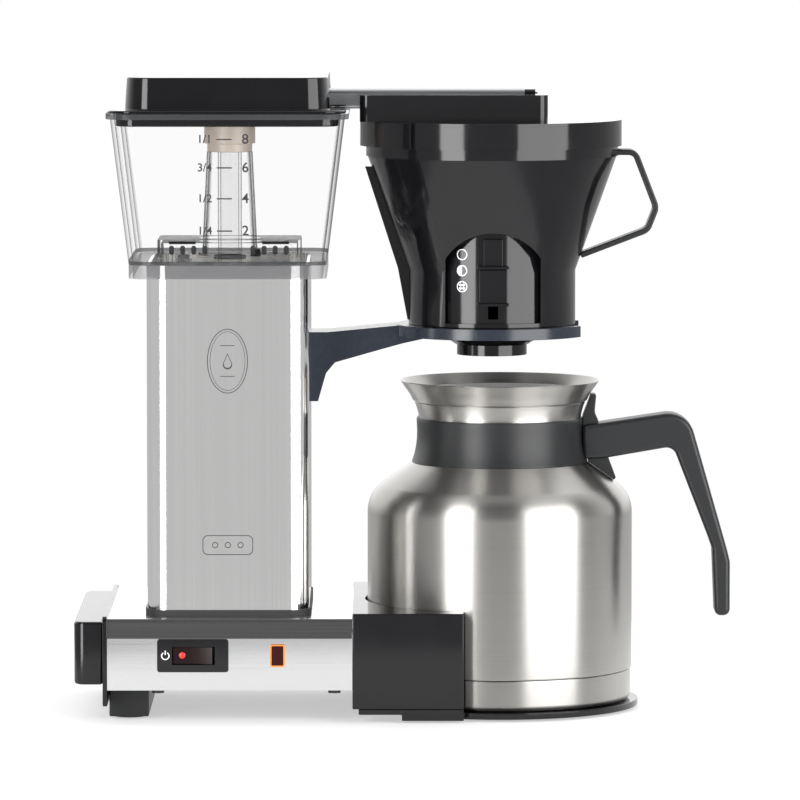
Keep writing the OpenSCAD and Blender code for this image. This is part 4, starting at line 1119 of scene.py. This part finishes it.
@dataclass
class SteelJug:
    """The vacuum jug's turned pieces, each lathed about the jug's axis."""

    side_radius: float = 74.3 * MM
    shoulder_radius: float = 20.0 * MM
    shoulder_turn: float = 50.0
    side_top: float = 110.0 * MM
    wall: float = 1.0 * MM
    neck_radius: float = 45.5 * MM
    groove: float = 0.35 * MM
    steps: int = 160

    def __post_init__(self) -> None:
        """Takes the axis and the levels from the frame."""
        self.axis = axis_of("jug_shell")
        self.shell_low, self.shell_top = levels("jug_shell")
        self.cup_low, self.cup_top = levels("jug_base_cup")
        self.collar_low, self.collar_top = levels("jug_collar")
        self.neck_low, self.rim_top = levels("jug_neck")

    def build(self) -> None:
        """Turns the shell, the base cup, the neck and the collar."""
        self.make_shell()
        self.make_cup()
        self.make_neck()
        self.make_collar()

    def make_shell(self) -> None:
        """Turns the shell with its rounded shoulder and a hem at its foot."""
        r, low = self.side_radius, self.shell_low
        turn = arc(r - self.shoulder_radius, self.side_top, self.shoulder_radius, 0,
                   self.shoulder_turn, 14)
        end = (self.neck_radius + 0.6 * MM, self.shell_top)
        reach = [(turn[-1][0] + (end[0] - turn[-1][0]) * i / 5, turn[-1][1] + (end[1] - turn[-1][1]) * i / 5)
                 for i in range(1, 6)]
        outer = [(r - 0.9 * MM, low), (r - 0.25 * MM, low + 0.25 * MM), (r, low + 0.9 * MM)]
        outer += [(r, low + (self.side_top - low) * i / 12) for i in range(1, 12)] + turn + reach
        inner = [(x - self.wall, z - 0.2 * MM) for x, z in reversed(turn + reach)]
        inner += [(r - self.wall, low + 0.2 * MM)]
        add_look("jug_shell", lathe(outer + inner, self.axis, True, self.steps), "jug_steel")

    def make_cup(self) -> None:
        """Turns the base cup with a rolled foot and a rounded seam lip."""
        r, low, top = self.side_radius - 0.6 * MM, self.cup_low, self.cup_top
        outer = [(0.0, low + 1.2 * MM), (r - 9 * MM, low + 1.2 * MM), (r - 7.6 * MM, low)]
        outer += [(r - 3 * MM, low)] + arc(r - 3 * MM, low + 3 * MM, 3 * MM, -80, 0, 8)
        outer += [(r, low + (top - low) * 0.5), (r, top - 0.7 * MM), (r - 0.25 * MM, top - 0.15 * MM),
                  (r - 0.8 * MM, top)]
        inner = [(r - 1.2 * MM, top), (r - 1.2 * MM, low + 3.6 * MM), (r - 3.4 * MM, low + 2 * MM),
                 (0.0, low + 2 * MM)]
        add_look("jug_base_cup", lathe(outer + inner, self.axis, False, self.steps), "jug_steel",
                 "jug_cup_look")

    def make_neck(self) -> None:
        """Turns the flared neck with its groove and a rolled rim."""
        r, z = self.neck_radius, self.collar_top
        outer = [(r, self.neck_low), (r, z), (r + 0.3 * MM, z + 2 * MM), (r + 0.8 * MM, z + 4 * MM),
                 (r + 1.7 * MM, z + 7 * MM), (r + 2.5 * MM, z + 8.7 * MM),
                 (r + 2.5 * MM - self.groove, z + 9.1 * MM), (r + 3.3 * MM - self.groove, z + 9.5 * MM),
                 (r + 3.5 * MM, z + 9.9 * MM), (r + 4.7 * MM, z + 12.4 * MM),
                 (r + 6.4 * MM, z + 15 * MM), (r + 8.4 * MM, z + 17.8 * MM),
                 (r + 10.1 * MM, self.rim_top - 0.75 * MM), (r + 10.5 * MM, self.rim_top - 0.3 * MM),
                 (r + 10.3 * MM, self.rim_top), (r + 9.7 * MM, self.rim_top - 0.1 * MM)]
        inner = [(x - self.wall, h + 0.1 * MM) for x, h in reversed(outer[2:12])]
        inner += [(r - self.wall, z), (r - self.wall, self.neck_low)]
        add_look("jug_neck", lathe(outer + inner, self.axis, True, self.steps), "jug_steel")

    def make_collar(self) -> None:
        """Turns the waisted plastic collar."""
        r, low, top = self.neck_radius, self.collar_low, self.collar_top
        waist = [(3.9, 0.0), (3.3, 2.0), (2.6, 4.0), (1.95, 7.0), (1.45, 10.0), (1.1, 13.5), (1.0, 17.0),
                 (1.12, 20.5), (1.3, 23.6)]
        outer = [(r + dx * MM, low + dz * MM) for dx, dz in waist] + [(r + 0.9 * MM, top)]
        inner = [(r + 0.1 * MM, top), (r + 0.1 * MM, low + 2.8 * MM)]
        inner += [(r + 0.7 * MM, low + 2.1 * MM), (r + 3.3 * MM, low + 0.15 * MM)]
        add_look("jug_collar", lathe(outer + inner, self.axis, True, self.steps), "satin_black")


@dataclass
class JugHandle:
    """The jug's hooked grip with its thumb rest and the tongue under its root."""

    width: float = 20.0 * MM
    narrow: float = 12.0 * MM
    grip: tuple[Point3, ...] = (
        (45.9, 158.5, 0), (105.2, 167.4, 15), (127.6, 89.0, 18), (129.3, 82.0, 12), (129.3, 51.5, 3.6),
        (120.9, 51.5, 3.4), (119.4, 89.0, 9), (116.9, 96.0, 12), (97.2, 146.9, 6), (58.3, 140.2, 10),
        (46.4, 139.8, 0))
    thumb: tuple[Point3, ...] = (
        (46.3, 156.0, 0), (56.5, 158.5, 3), (53.2, 166.0, 6), (54.1, 176.2, 1.1), (51.2, 176.2, 1.0),
        (49.3, 171.0, 2), (46.6, 164.0, 2))
    tongue: tuple[Point3, ...] = (
        (48.4, 142.5, 0), (60.5, 141.8, 2), (65.2, 129.2, 0.8), (64.2, 127.9, 0.5), (49.6, 138.1, 0))
    edge: float = 2.6 * MM

    def build(self) -> None:
        """Builds the three shapes as one piece."""
        shift = axis_of("jug_shell")[0]
        shapes = []
        for outline, width, edge in ((self.grip, self.width, self.edge),
                                     (self.thumb, self.narrow, 0.5 * MM),
                                     (self.tongue, self.narrow, 0.4 * MM)):
            rounded = [(x + shift, z) for x, z in filleted(list(outline), 10)]
            shapes.append(soften(prism(rounded, Plane.XZ, -width / 2, width / 2), edge, 5, 50.0))
        add_look("jug_handle", join(shapes), "satin_black")


@dataclass
class BasketHandle:
    """The basket's strap handle, bent with round corners."""

    bends: tuple[Point3, ...] = (
        (68.2, 312.0, 0), (80.0, 312.0, 5.5), (91.9, 281.0, 6.5), (87.0, 268.5, 6.5), (49.6, 254.2, 0))
    half_thick: float = 1.6
    edge: float = 0.9 * MM

    def build(self) -> None:
        """Sweeps the strap's even thickness along its bends."""
        low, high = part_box("basket_handle")
        axis = axis_of("drip_slide")[0]
        path = [Vector(bend[:2]) for bend in self.bends]
        outer, inner = [], []
        for i, spot in enumerate(path):
            before = (spot - path[i - 1]).normalized() if i else (path[1] - spot).normalized()
            after = (path[i + 1] - spot).normalized() if i < len(path) - 1 else before
            side = (Vector((-before.y, before.x)) + Vector((-after.y, after.x))).normalized()
            reach = self.half_thick / side.dot(Vector((-before.y, before.x)))
            radius = self.bends[i][2]
            outer.append((*(spot + side * reach), radius + self.half_thick if radius else 0))
            inner.append((*(spot - side * reach), radius - self.half_thick if radius else 0))
        outline = [(x + axis, z) for x, z in filleted(outer + inner[::-1], 10)]
        strap = prism(outline, Plane.XZ, low[1], high[1])
        add_look("basket_handle", soften(strap, self.edge, 4, 50.0), "satin_black")


@dataclass
class LampEdgeHighlight:
    """A painted highlight round the pilot lamp's dark lens: a glowing orange line standing in for light
    caught at the lens's edge.
    """

    line: float = 0.75 * MM
    proud: float = 0.12 * MM

    def build(self) -> None:
        """Lays the painted highlight round the lens."""
        low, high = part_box("lamp_lens")
        wide, tall = high[0] - low[0], high[2] - low[2]
        edge = flat_sign(rounded_outline(0, 0, wide, tall, 1.2 * MM, 6), self.proud,
                         rounded_outline(0, 0, wide - 2 * self.line, tall - 2 * self.line, 0.6 * MM, 6))
        middle = ((low[0] + high[0]) / 2, low[1], (low[2] + high[2]) / 2)
        add_piece("lamp_edge_painted_highlight", moved(edge, middle), "lamp_edge_painted_highlight", "machine")


@dataclass(frozen=True)
class Softbox:
    """A soft rectangular light, with its place, size and brightness."""

    name: str
    spot: Point3
    width: float
    height: float
    radiance: float
    upright: bool = True


@dataclass
class Studio:
    """The floor, the soft lights and the camera."""

    lens: float = 307.0
    eye: Point3 = (-0.0082, -3.822, 0.4815)
    aim: Point3 = (-0.0026, 0.0, 0.1724)
    floor_radius: float = 0.44
    front_grey: float = 0.52
    upper_grey: float = 0.1
    back_white: float = 1.5
    back_low: float = 0.5
    floor_grey: float = 0.6
    floor_glow: float = 0.5
    floor_drop: float = 0.2 * MM
    clear_layers: int = 40
    softboxes: tuple[Softbox, ...] = (
        Softbox("left_softbox", (-1.03, -1.48, 0.4), 0.69, 1.9, 9.0),
        Softbox("right_softbox", (1.3, -1.25, 0.4), 1.55, 1.9, 5.5),
        Softbox("top_softbox", (0.0, 0.1, 1.7), 2.2, 2.2, 0.6, False),
    )

    def build(self) -> None:
        """Makes the whole set."""
        self.make_floor()
        self.make_world()
        self.make_lights()
        self.make_camera()

    def make_floor(self) -> None:
        """Makes the round pale floor."""
        bm = bmesh.new()
        bmesh.ops.create_circle(bm, cap_ends=True, segments=128, radius=self.floor_radius)
        mesh = bpy.data.meshes.new("floor")
        bm.to_mesh(mesh)
        bm.free()
        floor = linked("floor", mesh)
        floor.location.z = -self.floor_drop
        pale = bpy.data.materials.new("pale_floor")
        pale.use_nodes = True
        inputs = pale.node_tree.nodes["Principled BSDF"].inputs
        for name, value in (("Base Color", (*[self.floor_grey] * 3, 1)), ("Emission Color", (1, 1, 1, 1)),
                            ("Emission Strength", self.floor_glow), ("Roughness", 0.85),
                            ("Specular IOR Level", 0.2)):
            inputs[name].default_value = value
        mesh.materials.append(pale)

    def make_world(self) -> None:
        """Makes a white room that is grey on the side where the viewer stands."""
        world = bpy.data.worlds.new("studio")
        world.use_nodes = True
        tree = world.node_tree
        sky = tree.nodes["Background"]
        coords = tree.nodes.new("ShaderNodeTexCoord")
        split = tree.nodes.new("ShaderNodeSeparateXYZ")
        tree.links.new(coords.outputs["Generated"], split.inputs["Vector"])
        front = map_range(tree, split.outputs["Z"], (0.04, 0.2), (self.front_grey, self.upper_grey))
        back = map_range(tree, split.outputs["Z"], (-0.02, 0.02), (self.back_low, self.back_white))
        room = map_range(tree, split.outputs["Y"], (-0.1, 0.5), (front, back))
        path = tree.nodes.new("ShaderNodeLightPath")
        strength = room
        for kind in ("Is Camera Ray", "Is Transmission Ray"):
            higher = tree.nodes.new("ShaderNodeMath")
            higher.operation = "MAXIMUM"
            tree.links.new(strength, higher.inputs[0])
            tree.links.new(path.outputs[kind], higher.inputs[1])
            strength = higher.outputs["Value"]
        sky.inputs["Color"].default_value = (1, 1, 1, 1)
        tree.links.new(strength, sky.inputs["Strength"])
        bpy.context.scene.world = world
        bpy.context.scene.view_settings.view_transform = "Standard"
        bpy.context.scene.cycles.transparent_max_bounces = self.clear_layers

    def make_lights(self) -> None:
        """Hangs a tall soft light on each side of the front and a wide one above."""
        for lamp in self.softboxes:
            light = bpy.data.lights.new(lamp.name, "AREA")
            light.shape = "RECTANGLE"
            light.size, light.size_y = lamp.width, lamp.height
            light.energy = lamp.radiance * math.pi * lamp.width * lamp.height
            box = linked(lamp.name, light)
            box.location = lamp.spot
            aim = Vector((0, 0, lamp.spot[2] if lamp.upright else 0.1)) - Vector(lamp.spot)
            box.rotation_euler = aim.to_track_quat("-Z", "Y").to_euler()

    def make_camera(self) -> None:
        """Puts a long-lens camera in front of the switch side."""
        data = bpy.data.cameras.new("front_camera")
        data.lens = self.lens
        data.sensor_width = 36.0
        data.clip_end = 100.0
        camera = linked("front_camera", data)
        camera.location = self.eye
        look = Vector(self.aim) - Vector(self.eye)
        camera.rotation_euler = look.to_track_quat("-Z", "Y").to_euler()
        bpy.context.scene.camera = camera


def main() -> None:
    """Builds the set and each sub-assembly in order."""
    for assembly in (Studio(), InnerWorks(), Base(), SwitchAndLamp(), LampEdgeHighlight(), SwitchMarks(), Column(),
                     ColumnBadges(), WaterTank(), GridRibs(), TankScale(), Riser(), TankLid(), Outlet(),
                     BrewBasket(), BasketHandle(), DripMarks(), SteelJug(), JugHandle(), JugLid()):
        assembly.build()
        log.info("built %s", type(assembly).__name__)


if __name__ == "__main__":
    main()
